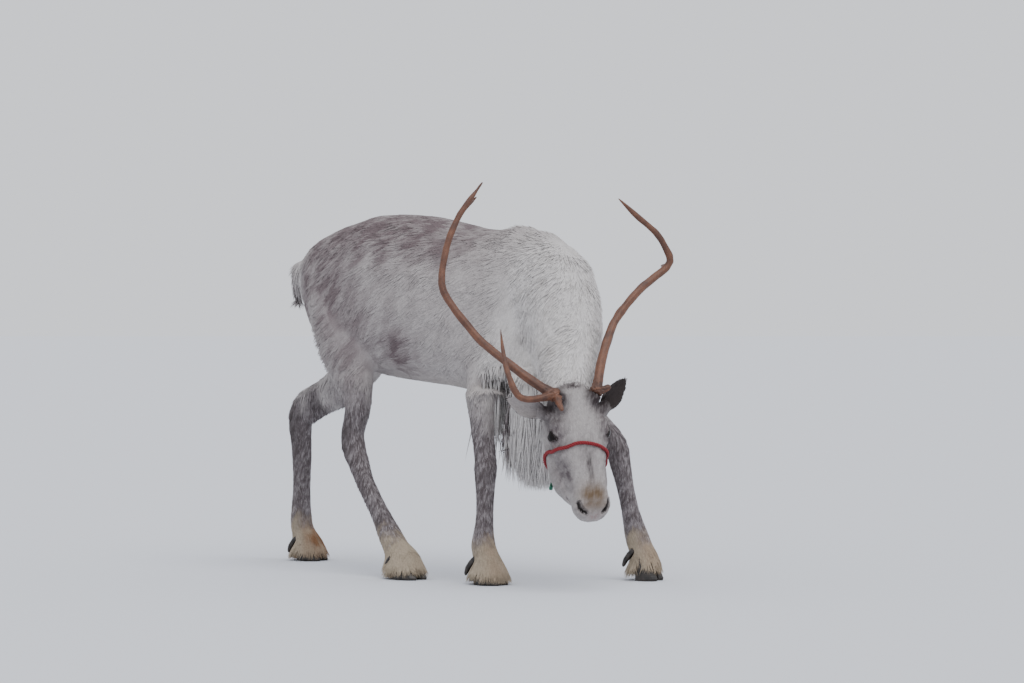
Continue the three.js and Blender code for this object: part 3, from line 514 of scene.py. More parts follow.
def coat_colour(points, facing, share, chance):
    """The colour of the coat at places on the animal; chance is a random number for each."""
    b = points - body_origin
    h = in_head(points)
    x, z = b[:, 0], b[:, 2]
    mottle = ripple(b * [1.0, 1.0, 0.6], 0.11, 3)
    across_lie, along_lie = 0.80 * x - 0.60 * z, 0.60 * x + 0.80 * z
    streak = ripple(np.column_stack([across_lie, b[:, 1], 0.20 * along_lie]), 0.030, 4)
    fine = ripple(np.column_stack([across_lie, b[:, 1], 0.28 * along_lie]), 0.012, 5)
    trunk = region(share, "torso", "upper", "tail")

    # The brown cast, strongest on the back, the rump, the thighs and the folds of the flanks
    back = smooth_step(z + 0.030 * mottle, 0.84, 1.02)
    back = back * (1.0 - smooth_step(x + 0.04 * mottle, -0.16, 0.06))
    rump = smooth_step(-x, 0.36, 0.56) * smooth_step(z + 0.05 * mottle, 0.66, 0.84)
    cast = 0.95 * np.maximum(back, rump * 0.85)
    cast = np.maximum(cast, 0.80 * nearness(folded(b), (-0.50, 0.17, 0.74), (0.11, 0.30, 0.20)))
    side_cast = 0.30 * smooth_step(z + 0.05 * mottle, 0.70, 0.92) * smooth_step(-x, 0.05, 0.30)
    cast = np.maximum(cast, side_cast)
    cast *= (0.84 + 0.17 * streak + 0.10 * mottle + 0.09 * fine).clip(0.40, 1.0)
    flank = nearness(folded(b), (-0.325, 0.175, 0.675), (0.075, 0.30, 0.085))
    cast = np.maximum(cast, (flank * (0.84 + 0.22 * streak)).clip(0, 1.0))
    cast = cast + 0.14 * (0.5 + streak).clip(0, 1) * trunk
    cast = (cast * trunk * (1.0 - nearness(b, (-0.80, 0.0, 0.88), (0.05, 0.10, 0.12)))).clip(0, 1.0)
    colour = mixed(OFF_WHITE, MANE_WHITE, region(share, "neck", "throat", "tail"))
    cream_wash = nearness(b, (0.12, -0.12, 0.62), (0.14, 0.12, 0.10)) * 0.25
    colour = colour * (1.0 - np.outer(cream_wash, [0.02, 0.05, 0.13]))
    belly = (1.0 - smooth_step(z, 0.54, 0.62)) * region(share, "torso")
    colour = colour * (1.0 - np.outer(belly * 0.5, [0.02, 0.05, 0.12]))
    colour = mixed(colour, MAUVE_BROWN, cast)
    neck_streak = (0.12 * streak + 0.10 * fine).clip(0, 1) * region(share, "neck")
    colour = colour * (1.0 - np.outer(neck_streak, [0.9, 0.95, 1.0]))

    # The legs: grizzled, dark at the hocks, with cream and tan feet
    hind = smooth_step(-x, 0.30, 0.40)
    leg_top = LEG_TOP + hind * 0.05 + 0.035 * mottle + 0.02 * streak
    leg = 1.0 - smooth_step(z, leg_top - 0.10, leg_top + 0.045)
    leg = region(share, "upper", "cannon", "foot") * leg
    foot = 1.0 - smooth_step(z + 0.015 * streak, FOOT_TOP - 0.035, FOOT_TOP + 0.04)
    foot = region(share, "foot", "cannon") * foot
    grizzle = (chance + 0.30 * fine + 0.18 * streak).clip(0, 1)
    leg_colour = mixed(LEG_GREY, LEG_PALE, grizzle ** 1.6)
    hock = nearness(b, (-0.545, -0.143, 0.42), (0.030, 0.06, 0.11))
    hock = hock + nearness(b, (-0.985, 0.140, 0.44), (0.036, 0.06, 0.11))
    hock = hock + 0.8 * nearness(b, (-0.88, 0.105, 0.50), (0.05, 0.04, 0.03))
    leg_colour = mixed(leg_colour, UMBER, (hock * 0.8).clip(0, 0.8))
    colour = mixed(colour, leg_colour, leg * 0.92)
    tan = (0.5 + 0.6 * mottle + 0.3 * streak).clip(0, 1) * smooth_step(facing[:, 0], -0.2, 0.9)
    foot_colour = mixed(FOOT_CREAM, FOOT_TAN, tan * 0.75 * hind + tan * 0.30)
    colour = mixed(colour, foot_colour, foot * 0.95)

    # The face: a white blaze between grey temples, dark hair at the antlers, a tan nose
    head = region(share, "head")
    either_side = folded(h)

    def on_face(place, spread):
        return nearness(either_side, place, spread)

    temple = on_face((0.135, 0.070, -0.040), (0.070, 0.030, 0.050))
    temple = np.maximum(temple, on_face((0.060, 0.066, -0.02), (0.05, 0.030, 0.04)) * 0.9)
    cheek = on_face((0.235, 0.066, -0.070), (0.060, 0.026, 0.050)) * 0.80
    jaw_stripe = on_face((0.258, 0.056, -0.056), (0.055, 0.009, 0.018)) * 1.2
    bridge = on_face((0.215, 0.016, -0.010), (0.06, 0.014, 0.03)) * 0.42
    nostril_rim = on_face((0.352, 0.034, -0.068), (0.018, 0.022, 0.022)) * 0.45
    grey = np.maximum.reduce([temple, cheek, jaw_stripe, bridge, nostril_rim])
    grey = grey * (0.85 + 0.25 * fine)
    dark = on_face((0.046, 0.052, 0.000), (0.040, 0.024, 0.034)) * 1.25
    dark = np.maximum(dark, on_face((0.055, 0.080, -0.036), (0.042, 0.026, 0.040)) * 1.1)
    dark = np.maximum(dark, nearness(h, (0.010, -0.006, 0.004), (0.010, 0.036, 0.030)) * 1.1)
    dark = np.maximum(dark, on_face((0.250, 0.003, -0.020), (0.050, 0.0055, 0.03)) * 0.75)
    dark = np.maximum(dark, on_face((0.140, 0.092, -0.046), (0.026, 0.016, 0.018)) * 0.7)
    nose = on_face((0.322, 0.012, -0.040), (0.030, 0.030, 0.034))
    nose = np.maximum(nose, on_face((0.345, 0.010, -0.052), (0.022, 0.030, 0.024)) * 0.80)
    colour = colour * (1.0 - (0.13 + 0.05 * fine) * head)[:, None]
    colour = mixed(colour, FACE_GREY, (grey * head).clip(0, 0.95))
    crown = region(share, "head", "neck", "ear")
    colour = mixed(colour, UMBER, (dark * crown * (0.95 + 0.15 * fine)).clip(0, 0.95))
    colour = mixed(colour, MUZZLE_TAN, (nose * head * (0.92 + 0.06 * fine)).clip(0, 0.9))

    # Each ear is greyer on one face and dark on the other: the left ear inside its cup, which faces
    # forward and down, the right ear on the face turned the other way
    ear = region(share, "ear")
    into_cup = unit(head_axes @ np.array([0.45, 0.0, 0.75]))
    dark_face = smooth_step((facing @ into_cup) * np.sign(h[:, 1] + 1e-9), -0.15, 0.35)
    # The dark is partly the ears' own darker hair and partly painted shade, such as the shade in the
    # hollow of the left ear's cup
    colour = mixed(colour, EAR_BROWN_AND_SHADE, ear * dark_face * 0.95)
    colour = mixed(colour, FACE_GREY, ear * (1.0 - dark_face) * 0.35)
    return colour.clip(0.0, 1.0)


def bare_places(points):
    """Hairless pink skin, at the tear corners and the tip of the nose, as shares to mix in."""
    either_side = folded(in_head(points))
    tear = nearness(either_side, (0.160, 0.082, -0.056), (0.009, 0.012, 0.007))
    pink = nearness(either_side, (0.372, 0.006, -0.080), (0.012, 0.012, 0.012)) * 0.5
    return np.maximum(tear, pink)


EYE_RIM = linear("#1d1513")
share = regions_of(skin.data, 10)
skin_places = coordinates(skin.data)
skin_normals = normals(skin.data)
rng = np.random.default_rng(11)
skin_colour = coat_colour(skin_places, skin_normals, share, np.full(len(skin_places), 0.35))
head_part = in_head(skin_places)
mouth_gap = along_line(MOUTH_LINE)[0]
nostril_gap = along_line(NOSTRIL_LINE, NOSTRIL_SQUASH)[0]
NOSTRIL_RIM = 0.0062
inside_nose = np.exp(-((nostril_gap / NOSTRIL_RIM) ** 4))
skin_colour = mixed(skin_colour, TEAR_PINK, bare_places(skin_places))
skin_colour = mixed(skin_colour, EYE_RIM, np.maximum(lid_mask * 0.95, eye_mask))
# The inside of each nostril is painted nearly black: its dark lining together with painted shade deep
# in the hollow
skin_colour = mixed(skin_colour, LIP_DARK_AND_NOSTRIL_SHADE * 0.35, inside_nose)
skin_colour = mixed(skin_colour, LIP_DARK_AND_NOSTRIL_SHADE, 0.75 * np.exp(-((mouth_gap / MOUTH_WIDTH) ** 2)))


def paint(mesh, colours, name="coat_colour"):
    attribute = mesh.color_attributes.new(name, "FLOAT_COLOR", "POINT")
    rgba = np.ones((len(mesh.vertices), 4), np.float32)
    rgba[:, :3] = colours
    attribute.data.foreach_set("color", rgba.ravel())


paint(skin.data, skin_colour)


class Shader:
    """A material's nodes: each call adds one, with its settings and the sockets it reads."""

    def __init__(self, name):
        self.material = bpy.data.materials.new(name)
        self.material.use_nodes = True
        self.tree = self.material.node_tree
        self.surface = self.tree.nodes["Principled BSDF"]

    def add(self, kind, reads=None, **settings):
        node = self.tree.nodes.new(kind)
        for key, value in settings.items():
            setattr(node, key, value)
        self.read(node, reads or {})
        return node

    def read(self, node, reads):
        for socket, value in reads.items():
            if isinstance(value, bpy.types.NodeSocket):
                self.tree.links.new(value, node.inputs[socket])
            else:
                node.inputs[socket].default_value = value


def grained_material(name, grain, detail, shades, relief, reads):
    """The mesh's own colours, made lighter and darker and slightly rough by one noise.

    The grain is in metres, shades are the darkest and palest shares or None, and relief is the
    strength and depth of the roughness.
    """
    made = Shader(name)
    place = made.add("ShaderNodeTexCoord").outputs["Object"]
    colour = made.add("ShaderNodeAttribute", attribute_name="coat_colour").outputs["Color"]
    noise = made.add("ShaderNodeTexNoise", {"Vector": place, "Scale": 1.0 / grain, "Detail": detail})
    noise = noise.outputs["Fac"]
    if shades:
        span = {"From Min": 0.3, "From Max": 0.7, "To Min": shades[0], "To Max": shades[1]}
        shade = made.add("ShaderNodeMapRange", {"Value": noise, **span})
        tinted = made.add("ShaderNodeVectorMath", {0: colour}, operation="SCALE")
        made.read(tinted, {"Scale": shade.outputs["Result"]})
        colour = tinted.outputs["Vector"]
    strength, distance = relief
    rough = made.add("ShaderNodeBump", {"Height": noise, "Strength": strength, "Distance": distance})
    made.read(made.surface, {"Base Color": colour, "Normal": rough.outputs["Normal"], **reads})
    return made.material


def hair_material(name, strand, roughness):
    """Deer hair: hollow, matt fibres with a faint sheen, each a little lighter or darker."""
    reads = {"Sheen Weight": 0.08, "Sheen Roughness": 0.5, "Specular IOR Level": 0.2}
    reads["Roughness"] = roughness
    return grained_material(name, strand, 3.0, (0.86, 1.08), (0.35, 0.001), reads)


# Hide with its underwool, seen only between the tufts: strands of about 3 mm
hide = hair_material("hide_and_underwool", 0.003, 0.85)
skin.data.materials.append(hide)
shade_smooth(skin.data)
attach(skin, "root")

# Coat
# Hollow winter hair in tufts that lie back along the body and overlap like thatch: long and wavy
# on the neck, shorter on the trunk, close on the legs, and finest of all on the face.
TUFTS = {
    # region: tufts per square metre, length, width, rise as a share of length, waviness, softness
    "torso": (36000, 0.038, 0.0044, 0.080, 0.08, 1.8),
    "neck": (47000, 0.044, 0.0043, 0.075, 0.13, 1.5),
    "throat": (46000, 0.060, 0.0050, 0.10, 0.10, 0.0),
    "head": (98000, 0.0088, 0.0021, 0.16, 0.08, 1.6),
    "tail": (90000, 0.046, 0.0046, 0.10, 0.10, 0.0),
    "ear": (105000, 0.0085, 0.0022, 0.12, 0.06, 0.4),
    "upper": (48000, 0.024, 0.0038, 0.11, 0.09, 1.4),
    "cannon": (82000, 0.0150, 0.0030, 0.13, 0.08, 1.2),
    "foot": (88000, 0.0200, 0.0031, 0.13, 0.08, 0.6),
}
skin.data.calc_loop_triangles()
triangles = np.empty(3 * len(skin.data.loop_triangles), np.int32)
skin.data.loop_triangles.foreach_get("vertices", triangles)
triangles = triangles.reshape(-1, 3)
a, b, c = (skin_places[triangles[:, k]] for k in range(3))
triangle_area = np.linalg.norm(np.cross(b - a, c - a), axis=1) / 2.0
broad_normals = unit(averaged(skin.data, skin_normals, 12))
table = np.array([TUFTS[name] for name in REGIONS])
LIPS_WIDTH = 0.003
lips = np.exp(-((mouth_gap / LIPS_WIDTH) ** 2))
hidden = np.maximum.reduce([eye_mask, lid_mask, inside_nose, lips])
coronet = region(share, "foot") * smooth_step(-skin_places[:, 2], -0.090, -0.055)
density = (share @ table[:, 0]) * (1.0 - hidden.clip(0, 1)) * (1.0 + 1.5 * coronet)
weight = triangle_area * density[triangles].mean(1)
count = int(weight.sum())


def scattered(weight, count):
    """Triangles of the skin picked at random, likelier the greater their weight."""
    picks = np.searchsorted(np.cumsum(weight) / weight.sum(), rng.random(count))
    return picks.clip(0, len(triangles) - 1)


chosen = scattered(weight, count)
mix = rng.random((count, 2))
mix[mix.sum(1) > 1.0] = 1.0 - mix[mix.sum(1) > 1.0]
mix = np.column_stack([1.0 - mix.sum(1), mix])


def at_roots(values):
    """Values at the skin's points, read at each tuft's root."""
    corners = values[triangles[chosen]]
    return (corners * (mix if values.ndim == 1 else mix[:, :, None])).sum(1)


root = at_roots(skin_places)
root_normal = unit(at_roots(broad_normals))
root_share = at_roots(share)

# Each tuft's patch of the flat layout, and how far shading may lean from a tuft's own side
TUFT_PATCH = 0.003
LEAST_AGREEMENT = 0.15
# From the foot of each ear to its tip, in the head's frame
EAR_WAY_L = np.array([-0.76, 0.87, 0.22])
EAR_WAY_R = np.array([-0.54, -0.76, -0.26])


def lie_of_coat(points, facing, share):
    """The way the hair points at each place, along the surface."""
    b = points - body_origin
    side = np.sign(b[:, 1] + 1e-9)
    flat = np.abs(facing[:, 2])
    drop = 0.15 + 0.55 * (1.0 - flat) + 0.5 * smooth_step(-b[:, 0], 0.36, 0.60) * (1.0 - flat)
    brisket = 2.5 * (1.0 - smooth_step(b[:, 2], 0.56, 0.68)) * smooth_step(b[:, 0], -0.22, -0.10)

    def each_way(*parts):
        return np.column_stack([np.broadcast_to(part, len(b)) for part in parts])

    trunk = each_way(-1.0, 0.12 * side, -drop - brisket * (1.0 - flat))
    neck_line = each_way(-0.30, 0.55 * facing[:, 1], -0.75)
    down = each_way(-0.10, 0.0, -1.0)
    toes = each_way(0.45, 0.0, -1.0)
    h = in_head(points)
    back_of_nose = each_way(-1.0, 4.0 * h[:, 1], -0.15) @ head_axes.T
    ears = np.where((h[:, 1] > 0)[:, None], EAR_WAY_L @ head_axes.T, EAR_WAY_R @ head_axes.T)
    ways = {
        "torso": trunk, "neck": neck_line, "throat": down, "head": back_of_nose, "tail": down,
        "ear": ears, "upper": down, "cannon": down, "foot": toes,
    }
    way = sum(unit(ways[name]) * region(share, name)[:, None] for name in REGIONS)
    swirl = 0.22 * ripple(b, 0.16, 21) + 0.16 * ripple(b, 0.05, 22)
    way = square_to(way, facing)
    sideways = np.cross(facing, way)
    calm = 1.0 - 0.6 * region(share, "head", "ear", "cannon", "foot")
    return unit(way + sideways * (swirl * calm)[:, None])


def tuft_mesh(
    name, roots, rises, ways, outs, lengths, widths, waves, softness, colours, unwrap, rings, seed
):
    """One mesh of many closed, tapered, bent tufts of three sides.

    Softness turns the shading of a tuft's edges outwards, so that it blends with its neighbours.
    Where that would face away from the tuft's own side, the side's flat normal is kept.
    """
    rng = np.random.default_rng(seed)
    count = len(roots)
    sideways = np.cross(outs, ways)
    levels = np.linspace(0.0, 1.0, rings + 1)
    taper = np.interp(levels, [0.0, 0.35, 0.75, 1.0], [0.75, 1.0, 0.62, 0.0])
    wave = rng.normal(0.0, 1.0, count) * waves
    phase = rng.uniform(0, 2 * math.pi, count)
    points = np.empty((count, 3 * rings + 1, 3))
    shading = np.empty_like(points)
    for k, level in enumerate(levels):
        swing = wave * (level ** 1.5) + 0.25 * waves * np.sin(phase + 4.0 * level)
        along = ways * (lengths * level)[:, None]
        across = sideways * (lengths * swing)[:, None]
        up = outs * (lengths * rises * level * (1.75 - 0.95 * level) - 0.25 * widths)[:, None]
        centre = roots + along + across + up
        if k == rings:
            points[:, -1] = centre
            shading[:, -1] = outs
            continue
        half = (widths * taper[k] / 2.0)[:, None]
        for j, (u, v) in enumerate(((-1.0, 0.0), (1.0, 0.0), (0.0, 0.75))):
            points[:, 3 * k + j] = centre + sideways * half * u + outs * half * v
            shading[:, 3 * k + j] = outs * (v * 1.4 + softness[:, None] * (1.0 - v)) + sideways * u
    faces = [(0, 2, 1)]
    for k in range(rings - 1):
        for j in range(3):
            low, next_low = 3 * k + j, 3 * k + (j + 1) % 3
            faces += [(low, next_low, next_low + 3), (low, next_low + 3, low + 3)]
    faces += [(3 * (rings - 1) + j, 3 * (rings - 1) + (j + 1) % 3, 3 * rings) for j in range(3)]
    faces = np.array(faces)
    size = points.shape[1]
    corner = (faces[None] + size * np.arange(count)[:, None, None]).reshape(-1)
    mesh = bpy.data.meshes.new(name)
    mesh.vertices.add(count * size)
    mesh.loops.add(len(corner))
    mesh.polygons.add(len(corner) // 3)
    mesh.vertices.foreach_set("co", points.astype(np.float32).ravel())
    mesh.loops.foreach_set("vertex_index", corner.astype(np.int32))
    mesh.polygons.foreach_set("loop_start", np.arange(0, len(corner), 3, dtype=np.int32))
    shade_smooth(mesh)
    mesh.update(calc_edges=True)
    # Each tuft is painted darker towards its root and lighter at its tip: painted shade where the
    # tufts above cover the roots, together with hair that is paler towards its tip
    height = np.append(np.repeat(levels[:-1], 3), 1.0)
    shade = np.interp(height, [0.0, 0.5, 1.0], [0.86, 0.98, 1.04])
    paint(mesh, (colours[:, None, :] * shade[None, :, None]).reshape(-1, 3).clip(0, 1))
    spot = np.column_stack([(np.arange(size) % 3) / 2.0, np.arange(size) / size]) * TUFT_PATCH
    places = unwrap[:, None, :] * (1.0 - TUFT_PATCH) + spot[None]
    layer = mesh.uv_layers.new(name="OFBake")
    layer.data.foreach_set("uv", places.reshape(-1, 2)[corner].astype(np.float32).ravel())
    triangle = points[:, faces]
    edges = triangle[:, :, 1:] - triangle[:, :, :1]
    flat = unit(np.cross(edges[:, :, 0], edges[:, :, 1]))[:, :, None]
    corner_shading = unit(shading)[:, faces]
    agree = (corner_shading * flat).sum(-1, keepdims=True) > LEAST_AGREEMENT
    corner_shading = np.where(agree, corner_shading, flat)
    mesh.normals_split_custom_set(corner_shading.reshape(-1, 3).astype(np.float32))
    return placed(name, mesh)


def round_axis(points, start, end):
    """Unwraps places round a straight axis: the angle about it and the distance along it."""
    start, end = np.array(start), np.array(end)
    axis = unit(end - start)
    level = ((points - start) @ axis) / np.linalg.norm(end - start)
    ahead = unit(np.cross(axis, [0.31, 0.9, 0.3]))
    beside = np.cross(axis, ahead)
    angle = np.arctan2((points - start) @ beside, (points - start) @ ahead) / (2 * math.pi) + 0.5
    return np.column_stack([angle, level.clip(0.0, 1.0)])


body = root - body_origin
on_head_place = in_head(root)
owner = root_share.argmax(1)
is_region = {name: owner == k for k, name in enumerate(REGIONS)}
on_leg = is_region["upper"] | is_region["cannon"] | is_region["foot"]
RUMP_START = -0.44
FORE_START = -0.25
fore = body[:, 0] > FORE_START
left = body[:, 1] > 0
right_face = on_head_place[:, 1] <= 0
trunk_axis = ((-0.88, 0.0, 0.80), (0.20, 0.0, 0.80))
neck_axis = ((0.02, 0.0, 0.85), (0.33, -0.24, 0.50))
face_axis = ((-0.03, 0.0, -0.075), (0.385, 0.0, -0.090))
rump = is_region["torso"] & (body[:, 0] < RUMP_START)
flank = is_region["torso"] & (body[:, 0] >= RUMP_START)
neck = is_region["neck"] | is_region["throat"]
# Which tufts each piece takes, the places and the axis its flat layout goes round, and its slot
COAT_PIECES = {
    "coat_rump": (rump, body, trunk_axis, "body_coat"),
    "coat_flank_R": (flank & ~left, body, trunk_axis, "body_coat"),
    "coat_flank_L": (flank & left, body, trunk_axis, "body_coat"),
    "coat_neck": (neck, body, neck_axis, "mane_coat"),
    "coat_tail": (is_region["tail"], body, ((-0.79, 0.0, 0.96), (-0.85, 0.0, 0.82)), "body_coat"),
    "coat_face_R": (is_region["head"] & right_face, on_head_place, face_axis, "body_coat"),
    "coat_face_L": (is_region["head"] & ~right_face, on_head_place, face_axis, "body_coat"),
    "coat_ear_R": (
        is_region["ear"] & right_face, on_head_place,
        ((0.064, -0.082, -0.050), (0.010, -0.158, -0.076)), "ear_coat",
    ),
    "coat_ear_L": (
        is_region["ear"] & ~right_face, on_head_place,
        ((0.064, 0.084, -0.044), (-0.012, 0.171, -0.022)), "ear_coat",
    ),
    "coat_leg_FR": (
        on_leg & fore & ~left, body, ((-0.02, -0.13, 0.62), (0.01, -0.19, 0.0)), "leg_coat"
    ),
    "coat_leg_FL": (
        on_leg & fore & left, body, ((0.06, 0.10, 0.62), (0.30, 0.185, 0.0)), "leg_coat"
    ),
    "coat_leg_HR": (
        on_leg & ~fore & ~left, body, ((-0.52, -0.13, 0.72), (-0.36, -0.18, 0.0)), "leg_coat"
    ),
    "coat_leg_HL": (
        on_leg & ~fore & left, body, ((-0.84, 0.12, 0.66), (-0.97, 0.175, 0.0)), "leg_coat"
    ),
}

ways = lie_of_coat(root, root_normal, root_share)
wide_share = at_roots(regions_of(skin.data, 70))
fixed = region(root_share, "head", "ear", "foot", "tail")[:, None]
facts = (root_share * fixed + wide_share * (1.0 - fixed)) @ table
tuft_length, tuft_width, tuft_rise, waviness, softness = facts.T[1:]

# Under the chest, between neck and forelegs, the hair hangs straight down
hang = region(root_share, "torso", "neck", "throat", "upper")
hang = hang * smooth_step(-root_normal[:, 2], 0.1, 0.5)
hang *= smooth_step(body[:, 0], -0.11, -0.02) * (1.0 - smooth_step(body[:, 2], 0.62, 0.70))
to_side = np.outer(np.sign(body[:, 1] + 0.06), [0.0, 0.6, 0.0])
aside = unit(root_normal * [1.0, 1.0, 0.0] + to_side + [0.15, 0.0, 0.0])
ways = unit(ways + ([0.0, 0.0, -1.0] - ways) * hang[:, None])
root_normal = unit(root_normal + (aside - root_normal) * hang[:, None])
root_normal = square_to(root_normal, ways)

# Over the hooves it is long and thick, drapes outwards, and ends above the floor
over_hoof = at_roots(coronet)
outward = unit(root_normal * [1.0, 1.0, 0.0] + [1e-6, 0.0, 0.0])
draped = unit(outward * 0.42 - [0.0, 0.0, 0.9])
ways = unit(ways + (draped - ways) * over_hoof[:, None])
root_normal = unit(root_normal + (outward + [0.0, 0.0, 0.46] - root_normal) * over_hoof[:, None])
root_normal = square_to(root_normal, ways)
vary = rng.uniform(0.72, 1.22, count)
muzzle = smooth_step(on_head_place[:, 0], 0.27, 0.33) * is_region["head"]
lengths = tuft_length * vary * (1.0 - 0.45 * muzzle) * (1.0 + 1.2 * over_hoof)
above_floor = (root[:, 2] - 0.002) / (-ways[:, 2]).clip(0.2)
lengths = np.where(over_hoof > 0.01, np.minimum(lengths, above_floor), lengths)
widths = tuft_width * rng.uniform(0.8, 1.2, count) * (1.0 - 0.25 * muzzle)
chance = rng.random(count)
colours = coat_colour(root, root_normal, root_share, chance)
colours = (colours * (0.93 + 0.16 * rng.random(count))[:, None]).clip(0, 1)
coat = hair_material("winter_hair", 0.006, 0.80)
COAT_RINGS = 2
COAT_SEED = 40
for number, (name, (taken, layout, axis, slot)) in enumerate(COAT_PIECES.items()):
    k = np.nonzero(taken)[0]
    piece = tuft_mesh(
        name, root[k], tuft_rise[k], ways[k], root_normal[k], lengths[k], widths[k], waviness[k],
        softness[k], colours[k], round_axis(layout[k], *axis), COAT_RINGS, COAT_SEED + number,
    )
    piece.data.materials.append(coat)
    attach(piece, "root")

# Throat mane
# Long, soft white hair that hangs from the throat and the underside of the neck in wavy locks,
# longest in the middle and drawn in to a blunt point.
MANE_LOCKS = 5600
MANE_FLOOR = 0.262
MANE_RINGS = 6
MANE_SEED = 77
chosen = scattered(triangle_area * region(share, "throat")[triangles].mean(1), MANE_LOCKS)
mix = rng.dirichlet((1.0, 1.0, 1.0), MANE_LOCKS)
mane_root = at_roots(skin_places)
mane_out = unit(at_roots(broad_normals) * [1.0, 1.0, 0.2])
mane_body = mane_root - body_origin
behind = np.maximum(0.0, 0.115 - mane_body[:, 0])
reach = (mane_root[:, 2] - MANE_FLOOR - 0.32 * behind).clip(0.03, 0.25)
mane_length = reach * rng.uniform(0.62, 1.0, MANE_LOCKS)
sway = [0.05 * rng.normal(size=MANE_LOCKS) for _ in range(2)]
fall = np.column_stack([*sway, -np.ones(MANE_LOCKS)])
mane_way = unit(fall - mane_out * 0.10)
mane_out = square_to(mane_out, mane_way)
mane_colour = MANE_WHITE * rng.uniform(0.90, 1.02, (MANE_LOCKS, 1))
mane_width = rng.uniform(0.0035, 0.0065, MANE_LOCKS)
mane_rise, mane_waves, mane_softness = (np.full(MANE_LOCKS, share) for share in (0.10, 0.07, 0.0))
mane_layout = round_axis(mane_body, (0.12, -0.06, 0.66), (0.14, -0.12, 0.40))
mane = tuft_mesh(
    "throat_mane_hair", mane_root - mane_out * 0.004, mane_rise, mane_way, mane_out, mane_length,
    mane_width, mane_waves, mane_softness, mane_colour.clip(0, 1), mane_layout, MANE_RINGS, MANE_SEED,
)
mane.data.materials.append(coat)
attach(mane, "root")

# Eyes
# Large, dark and wet: a near-black iris with a wide pupil behind a clear, domed cornea.
EYE_BROWN = linear("#120a07")
EYE_BLACK = linear("#050404")
eye = Shader("moist_eye")
eye_colour = eye.add("ShaderNodeAttribute", attribute_name="coat_colour").outputs["Color"]
eye.read(eye.surface, {"Base Color": eye_colour, "Roughness": 0.05})
eye.read(eye.surface, {"Specular IOR Level": 0.30, "IOR": 1.34})
for side, sign in (("L", 1.0), ("R", -1.0)):
    bpy.ops.object.select_all(action="DESELECT")
    bpy.ops.mesh.primitive_uv_sphere_add(
        segments=48, ring_count=32, radius=EYE_RADIUS, location=middle(f"eye_{side}")
    )
    eyeball = bpy.context.active_object
    eyeball.name = f"eyeball_{side}"
    bpy.ops.object.transform_apply(location=True, rotation=True, scale=True)
    bpy.ops.object.shade_smooth()
    offset = (coordinates(eyeball.data) - np.array(middle(f"eye_{side}"))) @ head_axes / EYE_RADIUS
    ahead = offset @ unit(np.array([0.10, sign * 0.95, 0.22]))
    pupil = np.exp(-((offset[:, 0] - 0.1) / 0.42) ** 2 - (offset[:, 2] - 0.22) ** 2 / 0.05)
    pupil = pupil * (ahead > 0)
    paint(eyeball.data, EYE_BROWN + (EYE_BLACK - EYE_BROWN) * pupil.clip(0, 1)[:, None])
    eyeball.data.materials.append(eye.material)
    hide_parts(f"eye_{side}")
    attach(eyeball, "root")

# Antlers
# Bare bone, stained reddish brown by bark, with long shallow grooves where the vessels ran,
# a rough pearled burr round the foot, and darker, more even tips.
ANTLER_RED = linear("#633c2a")
ANTLER_DARK = linear("#38221a")
ANTLER_PALE = linear("#85593f")
ANTLER_GRAIN = 0.0020
ANTLER_PARTS = {
    "R": ("lower", "middle", "upper", "tine", "brow_stub", "point"),
    "L": ("lower", "middle", "upper", "brow_stub", "spur"),
}
# Middle lines of each beam and of its tines, in millimetres in the head's frame
ANTLER_LINES = {
    "R": [
        [(40, -58, 5), (12, -96, 4), (-36, -138, -4), (-92, -182, -14), (-151, -228, -22),
         (-218, -266, -24), (-289, -301, -19), (-338, -313, -9), (-400, -299, 9), (-462, -274, 30),
         (-520, -238, 50), (-560, -202, 66), (-604, -160, 82)],
        [(36, -66, 8), (46, -110, 12), (52, -156, 22), (40, -182, 28), (4, -194, 34),
         (-46, -201, 40), (-104, -200, 45), (-160, -194, 49)],
        [(44, -62, 10), (70, -68, 26), (104, -71, 46)],
        [(-524, -236, 50), (-572, -178, 58)],
    ],
    "L": [
        [(40, 57, 5), (4, 72, 2), (-58, 100, -9), (-124, 134, -17), (-188, 173, -22),
         (-244, 226, -24), (-300, 292, -21), (-334, 348, -12), (-362, 382, 2), (-398, 372, 17),
         (-444, 344, 34), (-482, 300, 48), (-540, 240, 69)],
        [(34, 62, 8), (34, 80, 16), (30, 97, 24)],
        [(-350, 366, -4), (-368, 366, -34)],
    ],
}
GROOVE_DEPTH = 0.0007
SHRINK_BACK = 0.0006


def round_lines(points, lines):
    """Distance along and angle about the nearest of some middle lines, for places near them."""
    nearest = np.full(len(points), 9.0)
    along = np.zeros(len(points))
    angle = np.zeros(len(points))
    for line in lines:
        line = np.array(line) / 1000.0
        start = 0.0
        for a, b in zip(line, line[1:]):
            length = np.linalg.norm(b - a)
            axis = (b - a) / length
            t = np.clip((points - a) @ axis, 0.0, length)
            offset = points - a - t[:, None] * axis
            gap = np.linalg.norm(offset, axis=1)
            up = unit(np.array([0.0, 0.0, 1.0]) - axis * axis[2])
            turn = np.arctan2(offset @ np.cross(axis, up), offset @ up)
            nearer = gap < nearest
            nearest[nearer] = gap[nearer]
            along[nearer] = start + t[nearer]
            angle[nearer] = turn[nearer]
            start += length
    return along, angle


bone = grained_material(
    "antler_bone", 0.004, 4.0, (0.72, 1.18), (0.4, 0.0008), {"Roughness": 0.52}
)

